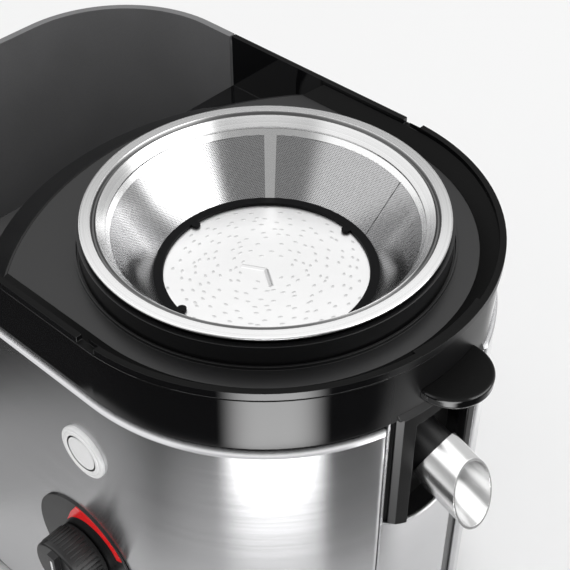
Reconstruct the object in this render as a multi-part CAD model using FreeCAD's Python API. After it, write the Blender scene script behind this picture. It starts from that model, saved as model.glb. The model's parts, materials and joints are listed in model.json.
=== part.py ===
import FreeCAD, Part
import math
import os

from FreeCAD import Vector

# Centrifugal juicer without its lid: motor base, juice bowl, sieve and pulp container.
# All sizes are in millimetres. The table is Z = 0 and +Z is up.
# The spout points along +X, the controls face -Y and the pulp container stands at -X.
# Each piece is drawn about the motor axis. The last step moves it into the part's own frame, whose
# origin is on the table under the middle of the whole outline.

# Clearances
PRESS_GAP = 0.02           # round pieces pressed or screwed together
SKIN_GAP = 0.1             # fixed shells that lie against each other
PART_GAP = 0.3             # pieces that move past each other
RUNNING_FIT = 0.05         # radial play of a shaft in a bearing, bush, seal or switch

# Feet, base plate and its screws
FOOT_R = 12.0
FOOT_H = 5.0
FOOT_STEM_R = 4.0
FOOT_INSET = 20.0
FRONT_FOOT_DEG = 37.0
PLATE_T = 4.0
VENT_COUNT = 12
VENT_W = 5.0
VENT_IN = 24.0
VENT_OUT = 52.0
SCREW_R = 1.7
SCREW_L = 16.0
SCREW_HEAD_R = 3.4
SCREW_HEAD_H = 2.2
BOSS_R = 5.0
BOSS_H = 24.0
BOSS_ROOT = 1.0            # how far a boss grows into the wall
ROUND_SCREW_DEG = 55.0
SIDE_SCREW_X = (-45.0, -100.0)

# Inner housing with its deck and shaft tower
BODY_R = 100.0
BODY_FLAT = 19.0           # flat left end, beyond the body's radius
BODY_TOP = 229.0
HOUSING_WALL = 3.0
DECK_DROP = 55.0           # below the body's top
DECK_T = 4.0
TOWER_R = 15.0
TOWER_H = 40.0

# Steel panels
PANEL_T = 3.0
PANEL_ROUND = 2.2
PANEL_LIFT = 6.0           # bare plinth of the housing below the panels
FRONT_EDGE_GAP = 2.5       # from the spout's tongue to the front panel's edge
REAR_EDGE_GAP = 1.3
SPOUT_PANEL_T = 1.4
SPOUT_PANEL_DEG = 9.8      # the spout-side panel stops here and leaves a black strip
SPOUT_PANEL_GAP_DEG = 0.5

# Top collar with its lip, slope and pulp ramp
SEAT_GAP = 0.3
COLLAR_OVER = 1.7          # beyond the housing's wall
COLLAR_H = 32.7
COLLAR_WALL = 1.5
LIP_OVER = 1.3             # beyond the collar's wall
LIP_H = 3.7
GROOVE_H = 2.0
GROOVE_D = 1.1
NOTCH_W = 10.0
NOTCH_X = 1.0
PAD_W = 3.1                # the lip is wider above the spout, in from the collar's radius
PAD_DEG = 12.0
SLOPE_RISE = 5.4
SHELF_W = 3.0
SHELF_T = 2.6
BRINK_X = 47.0             # arc on the left where the ledge ends and the ramp begins
BRINK_OVER = 43.0          # its radius, beyond the body's
BRINK_W = 1.0
RAMP_X = 24.0              # arc where the ramp ends
RAMP_OVER = 39.5
RAMP_DROP = 10.0
RAMP_WALL = 3.0

# Spout apron of the collar: a raised block on a wider tongue
TONGUE_HALF = 30.9
APRON_HALF = 28.1
APRON_DEPTH = 11.5         # in from the body's radius
APRON_DROP = 73.7          # below the body's top
APRON_ARC = 50.0
APRON_ROOT = 3.0
APRON_BEVEL = 2.0          # width of the block's bevelled upright corners
RECESS_HALF = 19.0
RECESS_DEPTH = 9.0
RECESS_DROP = 7.3
RECESS_ROUND = 0.7

# Juice bowl
LEDGE_INSET = 9.2          # in from the collar's radius
LEDGE_T = 2.5
LEDGE_DROP = 8.0           # below the lip's top
LEDGE_W = 11.2             # from the ledge's edge in to the ring
RING_RISE = 10.5           # above the ledge
BOWL_WALL = 2.7
BOWL_LIFT = 7.5            # above the deck
BOWL_FLOOR_T = 2.5
TUBE_GAP = 1.2
TUBE_WALL = 2.3
TUBE_RISE = 2.0            # above the shaft tower
BEAD_GAP = 0.8
BEAD_W = 1.0
BEAD_H = 1.6

# Spout: its axis crosses the body's radius below the body's top and falls towards +X
SPOUT_DROP = 43.8
SPOUT_TILT = 22.0
SLEEVE_R = 12.9
SLEEVE_WALL = 1.0
SLEEVE_START = -2.2
SLEEVE_END = 22.0
MOUTH_TILT = 19.5          # the mouth's face looks up by this angle
STUB_WALL = 2.0
STUB_END = 9.0
SEAL_R = 0.75
SEAL_AT = 4.5
SEAL_PROUD = 0.2

# Lift tab above the spout
TAB_R = 17.8
TAB_T = 6.0
TAB_RISE = 12.0            # above the body's top
TAB_ROUND = 1.8

# Sieve basket
SIEVE_LIFT = 1.8           # rim above the bowl's ring
RIM_INSET = 1.3            # in from the bowl's ring
RIM_T = 1.7
RIM_FLAT = 5.0
RIM_SHEET = 0.8
RIM_GROOVE_W = 2.4
RIM_GROOVE_D = 1.6
BAND_W = 11.0              # rim and band, from the rim's edge in to the cone
BAND_DROP = 5.0
MESH_T = 0.6
SEAM_T = 0.35
SEAM_FROM_DEG = 129.0
SEAM_TO_DEG = 134.0
CONE_RUN = 17.8            # the cone narrows by this on its way to the hub
BASKET_DEPTH = 33.0        # from the rim's top to the hub's ring
HUB_RING_H = 2.6           # ring above the web
WEB_T = 3.4
DISC_EDGE = 5.0            # hub's ring beyond the disc
DISC_T = 1.2
SKIRT_GAP = 2.5
SKIRT_WALL = 2.5
SKIRT_H = 24.0
SOCKET_WALL = 3.0
LUG_AZIMUTHS = (79.0, 180.0, 259.5)
LUG_R = 2.1
LUG_REACH = 3.2            # over the disc's edge
CUTTER_L = 11.3
CUTTER_W = 2.4
CUTTER_H = 0.8
CUTTER_X = 0.0
CUTTER_Y = -0.5
CUTTER_AZIMUTHS = (208.0, 325.0)

# Drive: shaft, coupling, bush and seal
SHAFT_R = 4.0
COUPLING_R = 9.0
COUPLING_H = 10.0
COUPLING_GAP = 0.6         # end play of the coupling in the hub's socket
BUSH_R = 8.0
BUSH_H = 14.0
SHAFT_SEAL_T = 3.0

# Motor
DAMPER_R = 7.0
DAMPER_H = 8.0
BRACKET_T = 8.0
BRACKET_R = 40.0
BRACKET_SKIRT = 3.0
EAR_W = 14.0
BOLT_OUT = 4.5             # beyond the bracket's radius
BOLT_COUNT = 4
BOLT_START_DEG = 45.0
BOLT_R = 2.0
BOLT_HEAD_R = 3.8
BOLT_HEAD_H = 3.5
BEARING_R = 11.0
BEARING_W = 7.0
BEARING_GROOVE_R = 0.8
END_TURN = 10.0            # height kept for the windings beyond the core
COIL_H = 8.0
COIL_GAP = 1.0             # from the bracket's skirt
COIL_W = 9.0
COIL_SPAN_DEG = 130.0
CORE_H = 44.0
CORE_W = 15.0
AIR_GAP = 0.6
ARMATURE_SLOTS = 12
SLOT_W = 1.8
SLOT_D = 4.0
WINDING_IN = 6.0
WINDING_GAP = 5.0          # from the stator's bore
WINDING_H = 8.5
COMMUTATOR_R = 11.0
COMMUTATOR_H = 14.0
COMMUTATOR_LIFT = 1.0
BRUSH_W = 8.0
BRUSH_H = 9.0
BRUSH_SHARE = 0.62         # of the holder's room, and the spring takes the rest
BRUSH_WALL = 2.0
BRUSH_SPRING_R = 3.4
HOLDER_TUCK = 1.2          # holder's outer end inside the bracket's skirt
FAN_R = 34.0
FAN_H = 12.0
FAN_GAP = 2.0
FAN_HUB_R = 9.0
FAN_BLADES = 10
FAN_BLADE_T = 1.4
FAN_DISC_T = 1.6

# Controls on the front
DIAL_X = -21.8
DIAL_DROP = 120.3          # below the body's top
BEZEL_R = 33.3
BEZEL_T = 1.0
SCALE_T = 0.4
SCALE_EDGE = 0.3           # bezel left bare outside the scale
SCALE_INNER_R = 19.5       # the scale's inner edge is this circle
SCALE_INNER_X = 7.0
SCALE_INNER_Z = 7.4
SCALE_TIP = (-10.7, 16.5)
SCALE_SHOULDER = (-6.6, 25.8)
SCALE_TOP = (2.5, 40.0)
SCALE_END_DEG = 30.0
KNOB_R = 17.0
KNOB_H = 16.0
KNOB_RIB_W = 5.0
KNOB_RIB_H = 3.0
KNOB_ROUND = 1.2
DIAL_SHAFT_R = 3.0
DIAL_SHAFT_GRIP = 8.0
SHAFT_HOLE_GAP = 0.4
SWITCH_W = 28.0
SWITCH_T = 14.0
BADGE_X = -10.7
BADGE_DROP = 39.0          # below the body's top
BADGE_R = 13.3
BADGE_T = 2.0
BADGE_ROUND = 0.9

# Electronics on the base plate
BOARD_INSET = 9.0          # from the body's flat end
BOARD_L = 56.0
BOARD_W = 76.0
BOARD_T = 1.6
POST_R = 3.0
POST_H = 8.0
POST_INSET = 5.0
CAPACITOR_SIZE = (26.0, 12.0, 18.0)
CAPACITOR_Y = 22.0
SINK_SIZE = (30.0, 16.0, 26.0)
SINK_Y = -18.0
SINK_FIN_T = 1.6
SINK_FINS = 6
SINK_BASE = 4.0

# Mains gland at the back
GLAND_X = -70.0
GLAND_Z = 34.0
GLAND_R = 7.0
GLAND_FLANGE_R = 10.0
GLAND_FLANGE_T = 2.5
GLAND_BORE_R = 3.6

# Pulp container
CONTAINER_GAP = 0.8
CONTAINER_L = 85.2
CONTAINER_CORNER = 66.0
CONTAINER_WALL = 2.6
CONTAINER_FLOOR = 3.0
CONTAINER_LIP = 1.3
CONTAINER_FILL_DROP = 1.5  # the side that faces the chute stops this far below it

# Places that follow from the sizes above
BOLT_CIRCLE_R = BRACKET_R + BOLT_OUT
COIL_OUT = BRACKET_R - BRACKET_SKIRT - COIL_GAP
COIL_IN = COIL_OUT - COIL_W
CORE_IN = BRACKET_R - CORE_W
WINDING_OUT = CORE_IN - WINDING_GAP
BODY_LEFT = BODY_R + BODY_FLAT
DECK_TOP = BODY_TOP - DECK_DROP
TOWER_TOP = DECK_TOP + TOWER_H
COLLAR_R = BODY_R + COLLAR_OVER
LIP_R = COLLAR_R + LIP_OVER
PAD_IN = COLLAR_R - PAD_W
BRINK_R = BODY_R + BRINK_OVER
RAMP_R = BODY_R + RAMP_OVER
APRON_BACK = BODY_R - APRON_DEPTH
APRON_BOTTOM = BODY_TOP - APRON_DROP
RECESS_BACK = BODY_R - RECESS_DEPTH
RECESS_TOP = BODY_TOP - RECESS_DROP
LEDGE_R = COLLAR_R - LEDGE_INSET
RING_R = LEDGE_R - LEDGE_W
RIM_R = RING_R - RIM_INSET
BAND_IN = RIM_R - BAND_W
HUB_R = BAND_IN - CONE_RUN
DISC_R = HUB_R - DISC_EDGE
BOWL_FLOOR = DECK_TOP + BOWL_LIFT
SPOUT_X = BODY_R
SPOUT_Z = BODY_TOP - SPOUT_DROP
TAB_TOP = BODY_TOP + TAB_RISE
DIAL_Z = BODY_TOP - DIAL_DROP
BADGE_Z = BODY_TOP - BADGE_DROP
BOARD_X = BOARD_INSET + BOARD_L / 2 - BODY_LEFT
PLATE_TOP = FOOT_H + PLATE_T
PANEL_BOTTOM = PLATE_TOP + PANEL_LIFT
PANEL_R = BODY_R + SKIN_GAP + PANEL_T
FRONT_EDGE_DEG = math.degrees(math.asin((TONGUE_HALF + FRONT_EDGE_GAP) / PANEL_R))
REAR_EDGE_DEG = math.degrees(math.asin((TONGUE_HALF + REAR_EDGE_GAP) / PANEL_R))
HOUSING_IN = BODY_R - HOUSING_WALL
DECK_BOTTOM = DECK_TOP - DECK_T
COLLAR_BOTTOM = BODY_TOP + SEAT_GAP
LIP_TOP = COLLAR_BOTTOM + COLLAR_H
LIP_BOTTOM = LIP_TOP - LIP_H
COLLAR_IN = COLLAR_R - COLLAR_WALL
LEDGE_TOP = LIP_TOP - LEDGE_DROP
LEDGE_BOTTOM = LEDGE_TOP - LEDGE_T
CREST_Z = LEDGE_TOP + SLOPE_RISE
RAMP_BOTTOM = LEDGE_TOP - RAMP_DROP
RING_TOP = LEDGE_TOP + RING_RISE
BOWL_IN = RING_R - BOWL_WALL
BOWL_FLOOR_TOP = BOWL_FLOOR + BOWL_FLOOR_T
TUBE_IN = TOWER_R + TUBE_GAP
TUBE_OUT = TUBE_IN + TUBE_WALL
TUBE_TOP = TOWER_TOP + TUBE_RISE
RIM_BOTTOM = RING_TOP + SIEVE_LIFT
RIM_TOP = RIM_BOTTOM + RIM_T
HUB_RING_TOP = RIM_TOP - BASKET_DEPTH
WEB_BOTTOM = HUB_RING_TOP - HUB_RING_H - WEB_T
WEB_TOP = WEB_BOTTOM + WEB_T
SLEEVE_IN = SLEEVE_R - SLEEVE_WALL
STUB_R = SLEEVE_IN - PART_GAP
STUB_BORE = STUB_R - STUB_WALL
COUPLING_TOP = WEB_BOTTOM - COUPLING_GAP
COUPLING_BOTTOM = COUPLING_TOP - COUPLING_H
BRACKET_TOP = DECK_BOTTOM - DAMPER_H
CORE_TOP = BRACKET_TOP - BRACKET_T - END_TURN
CORE_BOTTOM = CORE_TOP - CORE_H
COMMUTATOR_TOP = CORE_BOTTOM - END_TURN
COMMUTATOR_BOTTOM = COMMUTATOR_TOP - COMMUTATOR_H
LOWER_TOP = COMMUTATOR_BOTTOM - COMMUTATOR_LIFT
LOWER_BOTTOM = LOWER_TOP - BRACKET_T
FAN_TOP = LOWER_BOTTOM - FAN_GAP
FAN_BOTTOM = FAN_TOP - FAN_H
BOARD_BOTTOM = PLATE_TOP + POST_H
BOARD_TOP = BOARD_BOTTOM + BOARD_T
CONTAINER_HALF = COLLAR_R
CONTAINER_RIGHT = BODY_LEFT + CONTAINER_GAP
CONTAINER_LEFT = CONTAINER_RIGHT + CONTAINER_L
CONTAINER_BOTTOM = PLATE_TOP + PART_GAP
CUT = 5.0                  # how far a cutting tool runs past what it cuts


def polar(radius, degrees, z=0.0):
    """Point at a radius and azimuth about the motor axis."""
    angle = math.radians(degrees)
    return Vector(radius * math.cos(angle), radius * math.sin(angle), z)


def rod(radius, bottom, top, x=0.0, y=0.0):
    """Upright cylinder."""
    return Part.makeCylinder(radius, top - bottom, Vector(x, y, bottom))


def ring(inner, outer, bottom, top, x=0.0, y=0.0):
    """Upright tube."""
    bore = rod(inner, bottom - CUT, top + CUT, x, y)
    return rod(outer, bottom, top, x, y).cut(bore)


def block(x_range, y_range, z_range):
    """Box between two limits along each axis."""
    size = [high - low for low, high in (x_range, y_range, z_range)]
    return Part.makeBox(*size, Vector(x_range[0], y_range[0], z_range[0]))


def front_rod(radius, depth, front_y, x, z):
    """Cylinder whose axis runs along Y, from front_y towards +Y."""
    return Part.makeCylinder(radius, depth, Vector(x, front_y, z), Vector(0, 1, 0))


def revolve(profile):
    """Solid of revolution about Z from (radius, height) points."""
    points = [Vector(radius, 0, height) for radius, height in profile]
    face = Part.Face(Part.makePolygon(points + points[:1]))
    return face.revolve(Vector(0, 0, 0), Vector(0, 0, 1), 360)


def joined(shapes):
    """One solid from overlapping shapes, without the seams between them."""
    return shapes[0].multiFuse(shapes[1:]).removeSplitter()


def line(start, end):
    """Straight edge."""
    return Part.LineSegment(start, end).toShape()


def arc(start, middle, end):
    """Round edge through three points."""
    return Part.Arc(start, middle, end).toShape()


def prism(wire, bottom, top):
    """Flat outline at Z = 0 made into a plate between two levels."""
    plate = Part.Face(wire).extrude(Vector(0, 0, top - bottom))
    plate.translate(Vector(0, 0, bottom))
    return plate


def turned(shape, degrees):
    """Copy turned about the motor axis."""
    copy = shape.copy()
    copy.rotate(Vector(0, 0, 0), Vector(0, 0, 1), degrees)
    return copy


def around(shape, count, start=0.0):
    """Copies spread evenly about the motor axis."""
    return [turned(shape, start + 360.0 * step / count) for step in range(count)]


def rounded(shape, radius, wanted):
    """Fillet the edges that the test picks by their middle point."""
    edges = [edge for edge in shape.Edges if wanted(edge.CenterOfMass)]
    return shape.makeFillet(radius, edges)


def body_outline(half, left):
    """Half circle about the motor axis with straight sides to a flat end at X = -left."""
    front, back = Vector(0, -half, 0), Vector(0, half, 0)
    left_front, left_back = Vector(-left, -half, 0), Vector(-left, half, 0)
    return Part.Wire([
        arc(front, Vector(half, 0, 0), back),
        line(back, left_back),
        line(left_back, left_front),
        line(left_front, front),
    ])


def tray_outline(half, centre_x, radius, z=0.0):
    """Half circle about the motor axis, closed on the left by an arc about centre_x."""
    corner_x = centre_x - math.sqrt(radius ** 2 - half ** 2)
    front, back = Vector(0, -half, z), Vector(0, half, z)
    left_front, left_back = Vector(corner_x, -half, z), Vector(corner_x, half, z)
    return Part.Wire([
        arc(front, Vector(half, 0, z), back),
        line(back, left_back),
        arc(left_back, Vector(centre_x - radius, 0, z), left_front),
        line(left_front, front),
    ])


def container_outline(inset):
    """Flat side beside the body, straight sides and a round-cornered far end."""
    half = CONTAINER_HALF - inset
    right = -CONTAINER_RIGHT - inset
    left = -CONTAINER_LEFT + inset
    corner = CONTAINER_CORNER - inset
    bend = corner * (1.0 - math.sqrt(0.5))
    front_start, front_end = Vector(left + corner, -half, 0), Vector(left, corner - half, 0)
    back_start, back_end = Vector(left, half - corner, 0), Vector(left + corner, half, 0)
    right_front, right_back = Vector(right, -half, 0), Vector(right, half, 0)
    return Part.Wire([
        line(right_front, front_start),
        arc(front_start, Vector(left + bend, bend - half, 0), front_end),
        line(front_end, back_start),
        arc(back_start, Vector(left + bend, half - bend, 0), back_end),
        line(back_end, right_back),
        line(right_back, right_front),
    ])


def tongue(half, offset, top):
    """Upright tongue with a round lower end, from the apron's back out past the body."""
    half = half + offset
    radius = APRON_ARC + offset
    centre_z = APRON_BOTTOM + APRON_ARC
    corner_z = centre_z - math.sqrt(radius ** 2 - half ** 2)
    back = APRON_BACK - offset
    upper_left, upper_right = Vector(back, -half, top), Vector(back, half, top)
    lower_left, lower_right = Vector(back, -half, corner_z), Vector(back, half, corner_z)
    outline = Part.Wire([
        line(upper_left, lower_left),
        arc(lower_left, Vector(back, 0, centre_z - radius), lower_right),
        line(lower_right, upper_right),
        line(upper_right, upper_left),
    ])
    return Part.Face(outline).extrude(Vector(PANEL_R + CUT - back, 0, 0))


def wedge(from_degrees, to_degrees):
    """Upright sector about the motor axis, taller and wider than the body."""
    far = 3.0 * PANEL_R
    corners = [Vector(0, 0, 0), polar(far, from_degrees), polar(far, to_degrees)]
    return prism(Part.makePolygon(corners + corners[:1]), 0, RIM_TOP)


def spout_direction():
    """Unit vector along the spout, down and out."""
    tilt = math.radians(SPOUT_TILT)
    return Vector(math.cos(tilt), 0, -math.sin(tilt))


def spout_point(distance):
    """Point on the spout's axis, counted from the reference point."""
    return Vector(SPOUT_X, 0, SPOUT_Z) + spout_direction() * distance


def spout_rod(radius, start, end):
    """Cylinder along the spout's axis."""
    return Part.makeCylinder(radius, end - start, spout_point(start), spout_direction())


def screw_spots():
    """Places of the base plate's screws, in bosses that grow out of the housing wall."""
    radius = HOUSING_IN - BOSS_R + BOSS_ROOT
    spots = []
    for side in (-1.0, 1.0):
        corner = polar(radius, side * ROUND_SCREW_DEG)
        spots.append((corner.x, corner.y))
        for x in SIDE_SCREW_X:
            spots.append((x, side * radius))
    return spots


def foot_spots():
    """Places of the four feet, two under the round end and two in the container's corners."""
    radius = CONTAINER_CORNER - FOOT_INSET
    spots = []
    for side in (-1.0, 1.0):
        spot = polar(BODY_R - FOOT_INSET, side * FRONT_FOOT_DEG)
        spots.append((spot.x, spot.y))
        corner = polar(radius, side * 135.0)
        corner_y = CONTAINER_HALF - CONTAINER_CORNER
        spots.append((CONTAINER_CORNER - CONTAINER_LEFT + corner.x, side * corner_y + corner.y))
    return spots


def board_posts():
    """Places of the posts under the control board's corners."""
    dx = BOARD_L / 2 - POST_INSET
    dy = BOARD_W / 2 - POST_INSET
    return [(BOARD_X + sx * dx, sy * dy) for sx in (-1, 1) for sy in (-1, 1)]


def rubber_feet():
    feet = []
    for x, y in foot_spots():
        pad = rod(FOOT_R, 0, FOOT_H, x, y)
        stem = rod(FOOT_STEM_R, FOOT_H, PLATE_TOP, x, y)
        feet.append(pad.fuse(stem).removeSplitter())
    return Part.makeCompound(feet)


def base_plate():
    body = prism(body_outline(BODY_R, BODY_LEFT + CUT), FOOT_H, PLATE_TOP)
    ledge = prism(container_outline(0.0), FOOT_H, PLATE_TOP)
    posts = [rod(POST_R, FOOT_H, BOARD_BOTTOM, x, y) for x, y in board_posts()]
    plate = joined([body, ledge] + posts)
    vent = block((VENT_IN, VENT_OUT), (-VENT_W / 2, VENT_W / 2), (0, PLATE_TOP + CUT))
    tools = around(vent, VENT_COUNT)
    for x, y in foot_spots():
        tools.append(rod(FOOT_STEM_R + PRESS_GAP, 0, PLATE_TOP + CUT, x, y))
    for x, y in screw_spots():
        tools.append(rod(SCREW_R + PRESS_GAP, 0, PLATE_TOP + CUT, x, y))
        tools.append(rod(SCREW_HEAD_R + PRESS_GAP, 0, FOOT_H + SCREW_HEAD_H, x, y))
    return plate.cut(tools)


def base_screws():
    screws = []
    for x, y in screw_spots():
        head = rod(SCREW_HEAD_R, FOOT_H, FOOT_H + SCREW_HEAD_H, x, y)
        shank = rod(SCREW_R, FOOT_H, FOOT_H + SCREW_L, x, y)
        screws.append(head.fuse(shank).removeSplitter())
    return Part.makeCompound(screws)


def motor_housing():
    outer = prism(body_outline(BODY_R, BODY_LEFT), PLATE_TOP, BODY_TOP)
    left_in = BODY_LEFT - HOUSING_WALL
    room_below = prism(body_outline(HOUSING_IN, left_in), PLATE_TOP - CUT, DECK_BOTTOM)
    room_above = prism(body_outline(HOUSING_IN, left_in), DECK_TOP, BODY_TOP + CUT)
    shell = outer.cut([room_below, room_above])

    slot_wall = TONGUE_HALF + PART_GAP + HOUSING_WALL
    slot_back = APRON_BACK - PART_GAP - HOUSING_WALL
    pocket_floor = APRON_BOTTOM - PART_GAP - HOUSING_WALL
    pocket = block((slot_back, BODY_R), (-slot_wall, slot_wall), (pocket_floor, DECK_TOP))
    pocket = pocket.common(rod(BODY_R, pocket_floor, DECK_TOP))
    bosses = [rod(BOSS_R, PLATE_TOP, PLATE_TOP + BOSS_H, x, y) for x, y in screw_spots()]
    bosses = [boss.common(outer) for boss in bosses]
    tower = rod(TOWER_R, DECK_BOTTOM, TOWER_TOP)
    shell = joined([shell, pocket, tower] + bosses)

    tools = [
        tongue(TONGUE_HALF, PART_GAP, BODY_TOP + CUT),
        rod(SHAFT_R + TUBE_GAP, DECK_BOTTOM - CUT, TOWER_TOP + CUT),
        rod(BUSH_R + PRESS_GAP, TOWER_TOP - SHAFT_SEAL_T - BUSH_H, TOWER_TOP + CUT),
        front_rod(DIAL_SHAFT_R + SHAFT_HOLE_GAP, HOUSING_WALL + 2 * CUT, -BODY_R - CUT, DIAL_X, DIAL_Z),
        front_rod(GLAND_R + PRESS_GAP, HOUSING_WALL + 2 * CUT, HOUSING_IN - CUT, GLAND_X, GLAND_Z),
    ]
    for x, y in screw_spots():
        tools.append(rod(SCREW_R + PRESS_GAP, PLATE_TOP - CUT, FOOT_H + SCREW_L + CUT, x, y))
    return shell.cut(tools)


def panel_sheet(side, edge_degrees):
    """Hemmed steel sheet round one side of the housing, side -1 at the front and 1 at the back."""
    outer = prism(body_outline(PANEL_R, BODY_LEFT), PANEL_BOTTOM, BODY_TOP)
    inner = prism(body_outline(BODY_R + SKIN_GAP, BODY_LEFT + CUT), 0, BODY_TOP + CUT)
    far = 3.0 * PANEL_R
    reach = polar(far, side * edge_degrees)
    corners = [Vector(0, 0, 0), reach]
    corners += [Vector(0, side * far, 0), Vector(-far, side * far, 0), Vector(-far, 0, 0)]
    keep = prism(Part.makePolygon(corners + corners[:1]), 0, BODY_TOP + CUT)
    sheet = outer.cut(inner).common(keep)

    def on_outer_rim(point):
        upper = point.z > BODY_TOP - PANEL_ROUND / 2
        wide = math.hypot(max(point.x, 0.0), point.y) > PANEL_R - PANEL_ROUND
        outside = wide and point.x > -BODY_LEFT + PANEL_T
        spout_end = point.x > PANEL_R / 2 and math.hypot(point.x, point.y) > PANEL_R - SKIN_GAP
        middle = PANEL_BOTTOM + PANEL_T < point.z < BODY_TOP - PANEL_T
        return (upper and outside) or (spout_end and middle)

    return rounded(sheet, min(PANEL_ROUND, 0.8 * PANEL_T), on_outer_rim)


def front_steel_panel():
    sheet = panel_sheet(-1.0, FRONT_EDGE_DEG)
    hole = front_rod(DIAL_SHAFT_R + SHAFT_HOLE_GAP, PANEL_T + 2 * CUT, -PANEL_R - CUT, DIAL_X, DIAL_Z)
    return sheet.cut(hole)


def rear_steel_panel():
    sheet = panel_sheet(1.0, REAR_EDGE_DEG)
    hole = front_rod(GLAND_R + PRESS_GAP, PANEL_T + 2 * CUT, BODY_R - CUT, GLAND_X, GLAND_Z)
    return sheet.cut(hole)


def spout_side_panel():
    inner = BODY_R + SKIN_GAP
    sheet = ring(inner, inner + SPOUT_PANEL_T, PANEL_BOTTOM, BODY_TOP)
    sheet = sheet.common(wedge(-FRONT_EDGE_DEG + SPOUT_PANEL_GAP_DEG, SPOUT_PANEL_DEG))
    return sheet.cut(tongue(TONGUE_HALF, PART_GAP, BODY_TOP + CUT))


def collar_wall():
    """Outer wall with its groove and lip, open towards the pulp container."""
    wall = prism(body_outline(COLLAR_R, BODY_LEFT), COLLAR_BOTTOM, LIP_TOP)
    around_it = prism(body_outline(LIP_R + CUT, BODY_LEFT + CUT), LIP_BOTTOM - GROOVE_H, LIP_BOTTOM)
    core = prism(body_outline(COLLAR_R - GROOVE_D, BODY_LEFT + CUT), LIP_BOTTOM - GROOVE_H, LIP_BOTTOM)
    lip = prism(body_outline(LIP_R, BODY_LEFT), LIP_BOTTOM, LIP_TOP)
    room = prism(body_outline(COLLAR_IN, BODY_LEFT + CUT), COLLAR_BOTTOM - CUT, LIP_TOP + CUT)
    return wall.cut(around_it.cut(core)).fuse(lip).cut(room).removeSplitter()


def bowl_seat():
    """Room for the juice bowl's flange in the collar."""
    return prism(tray_outline(LEDGE_R + SKIN_GAP, BRINK_X, BRINK_R + SKIN_GAP), LEDGE_BOTTOM, LEDGE_TOP)


def collar_tray():
    """Slope round the ledge, with the shelf that carries the juice bowl's flange."""
    outline_half = COLLAR_IN + COLLAR_WALL / 3
    shelf_bottom = LEDGE_BOTTOM - SHELF_T
    tray = prism(tray_outline(outline_half, BRINK_X, BRINK_R + BRINK_W), shelf_bottom, CREST_Z)
    opening = tray_outline(LEDGE_R - SHELF_W, BRINK_X, BRINK_R - SHELF_W)
    opening = prism(opening, shelf_bottom - CUT, LEDGE_TOP)
    slope = Part.makeLoft([
        tray_outline(LEDGE_R + SKIN_GAP, BRINK_X, BRINK_R + SKIN_GAP, LEDGE_TOP),
        tray_outline(COLLAR_IN, BRINK_X, BRINK_R + SKIN_GAP, CREST_Z),
    ], True, True)
    above_ramp = prism(body_outline(LIP_R, BODY_LEFT), LEDGE_TOP, LIP_TOP)
    above_ramp = above_ramp.cut(prism(tray_outline(LIP_R + CUT, BRINK_X, BRINK_R), 0, LIP_TOP + CUT))
    return tray.cut([bowl_seat(), opening, slope, above_ramp])


def ramp_solid(inset):
    """Body whose left side falls from the brink to the ramp's lower arc, set in by an inset."""
    half = COLLAR_IN + COLLAR_WALL / 3 + (CUT if inset else 0.0)
    upper = tray_outline(half, BRINK_X, BRINK_R + BRINK_W - inset, LEDGE_TOP)
    lower = tray_outline(half, RAMP_X, RAMP_R - inset, RAMP_BOTTOM)
    return Part.makeLoft([upper, lower], True, True)


def pulp_ramp():
    """Ramp below the brink, the wall under it and the floor beside the pulp container."""
    half = COLLAR_IN + COLLAR_WALL / 3
    ramp = ramp_solid(0.0).cut([ramp_solid(RAMP_WALL), bowl_seat()])
    inside = prism(tray_outline(half + CUT, RAMP_X, RAMP_R - RAMP_WALL), 0, RAMP_BOTTOM + RAMP_WALL)
    skirt = prism(tray_outline(half, RAMP_X, RAMP_R), COLLAR_BOTTOM, RAMP_BOTTOM).cut(inside)
    floor = prism(body_outline(half, BODY_LEFT), COLLAR_BOTTOM, COLLAR_BOTTOM + SHELF_T).cut(inside)
    return joined([ramp, skirt, floor])


def apron_bevel(side, bottom, top):
    """What is cut off the raised block's upright corner, side -1 or 1."""
    face_y = APRON_HALF - APRON_BEVEL
    face_x = math.sqrt(PANEL_R ** 2 - face_y ** 2)
    side_x = math.sqrt(PANEL_R ** 2 - APRON_HALF ** 2) - APRON_BEVEL
    beyond_x, beyond_y = PANEL_R + CUT, APRON_HALF + CUT
    spots = [
        (face_x, face_y), (side_x, APRON_HALF), (side_x, beyond_y), (beyond_x, beyond_y), (beyond_x, face_y),
    ]
    corners = [Vector(x, side * y, 0) for x, y in spots]
    return prism(Part.makePolygon(corners + corners[:1]), bottom, top)


def spout_apron():
    """Tongue below the collar with a raised block and the recess that the spout comes out of."""
    root = COLLAR_BOTTOM + APRON_ROOT
    low = APRON_BOTTOM - CUT
    plate = tongue(TONGUE_HALF, 0.0, BODY_TOP).common(rod(BODY_R, low, BODY_TOP))
    shoulder = revolve([
        (0, low), (PANEL_R, low), (PANEL_R, BODY_TOP), (COLLAR_R, root), (0, root),
    ])
    raised = tongue(APRON_HALF, 0.0, root).common(shoulder)
    recess = block((RECESS_BACK, PANEL_R + CUT), (-RECESS_HALF, RECESS_HALF), (low, RECESS_TOP))
    apron = joined([plate, raised]).cut(recess)

    def on_recess_rim(point):
        front = math.hypot(point.x, point.y) > PANEL_R - RECESS_DEPTH / 3
        beside = abs(abs(point.y) - RECESS_HALF) < SKIN_GAP and point.z < RECESS_TOP
        above = abs(point.z - RECESS_TOP) < SKIN_GAP and abs(point.y) < SKIN_GAP
        return front and (beside or above)

    apron = rounded(apron, RECESS_ROUND, on_recess_rim)
    tools = [apron_bevel(side, low, COLLAR_BOTTOM) for side in (-1.0, 1.0)]
    tools.append(spout_rod(STUB_R + SKIN_GAP, -BOWL_IN / 2, SLEEVE_END))
    return apron.cut(tools)


def lip_pad():
    """Wider stretch of the lip above the spout."""
    return ring(PAD_IN, COLLAR_R, LIP_BOTTOM, LIP_TOP).common(wedge(-PAD_DEG, PAD_DEG))


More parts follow.
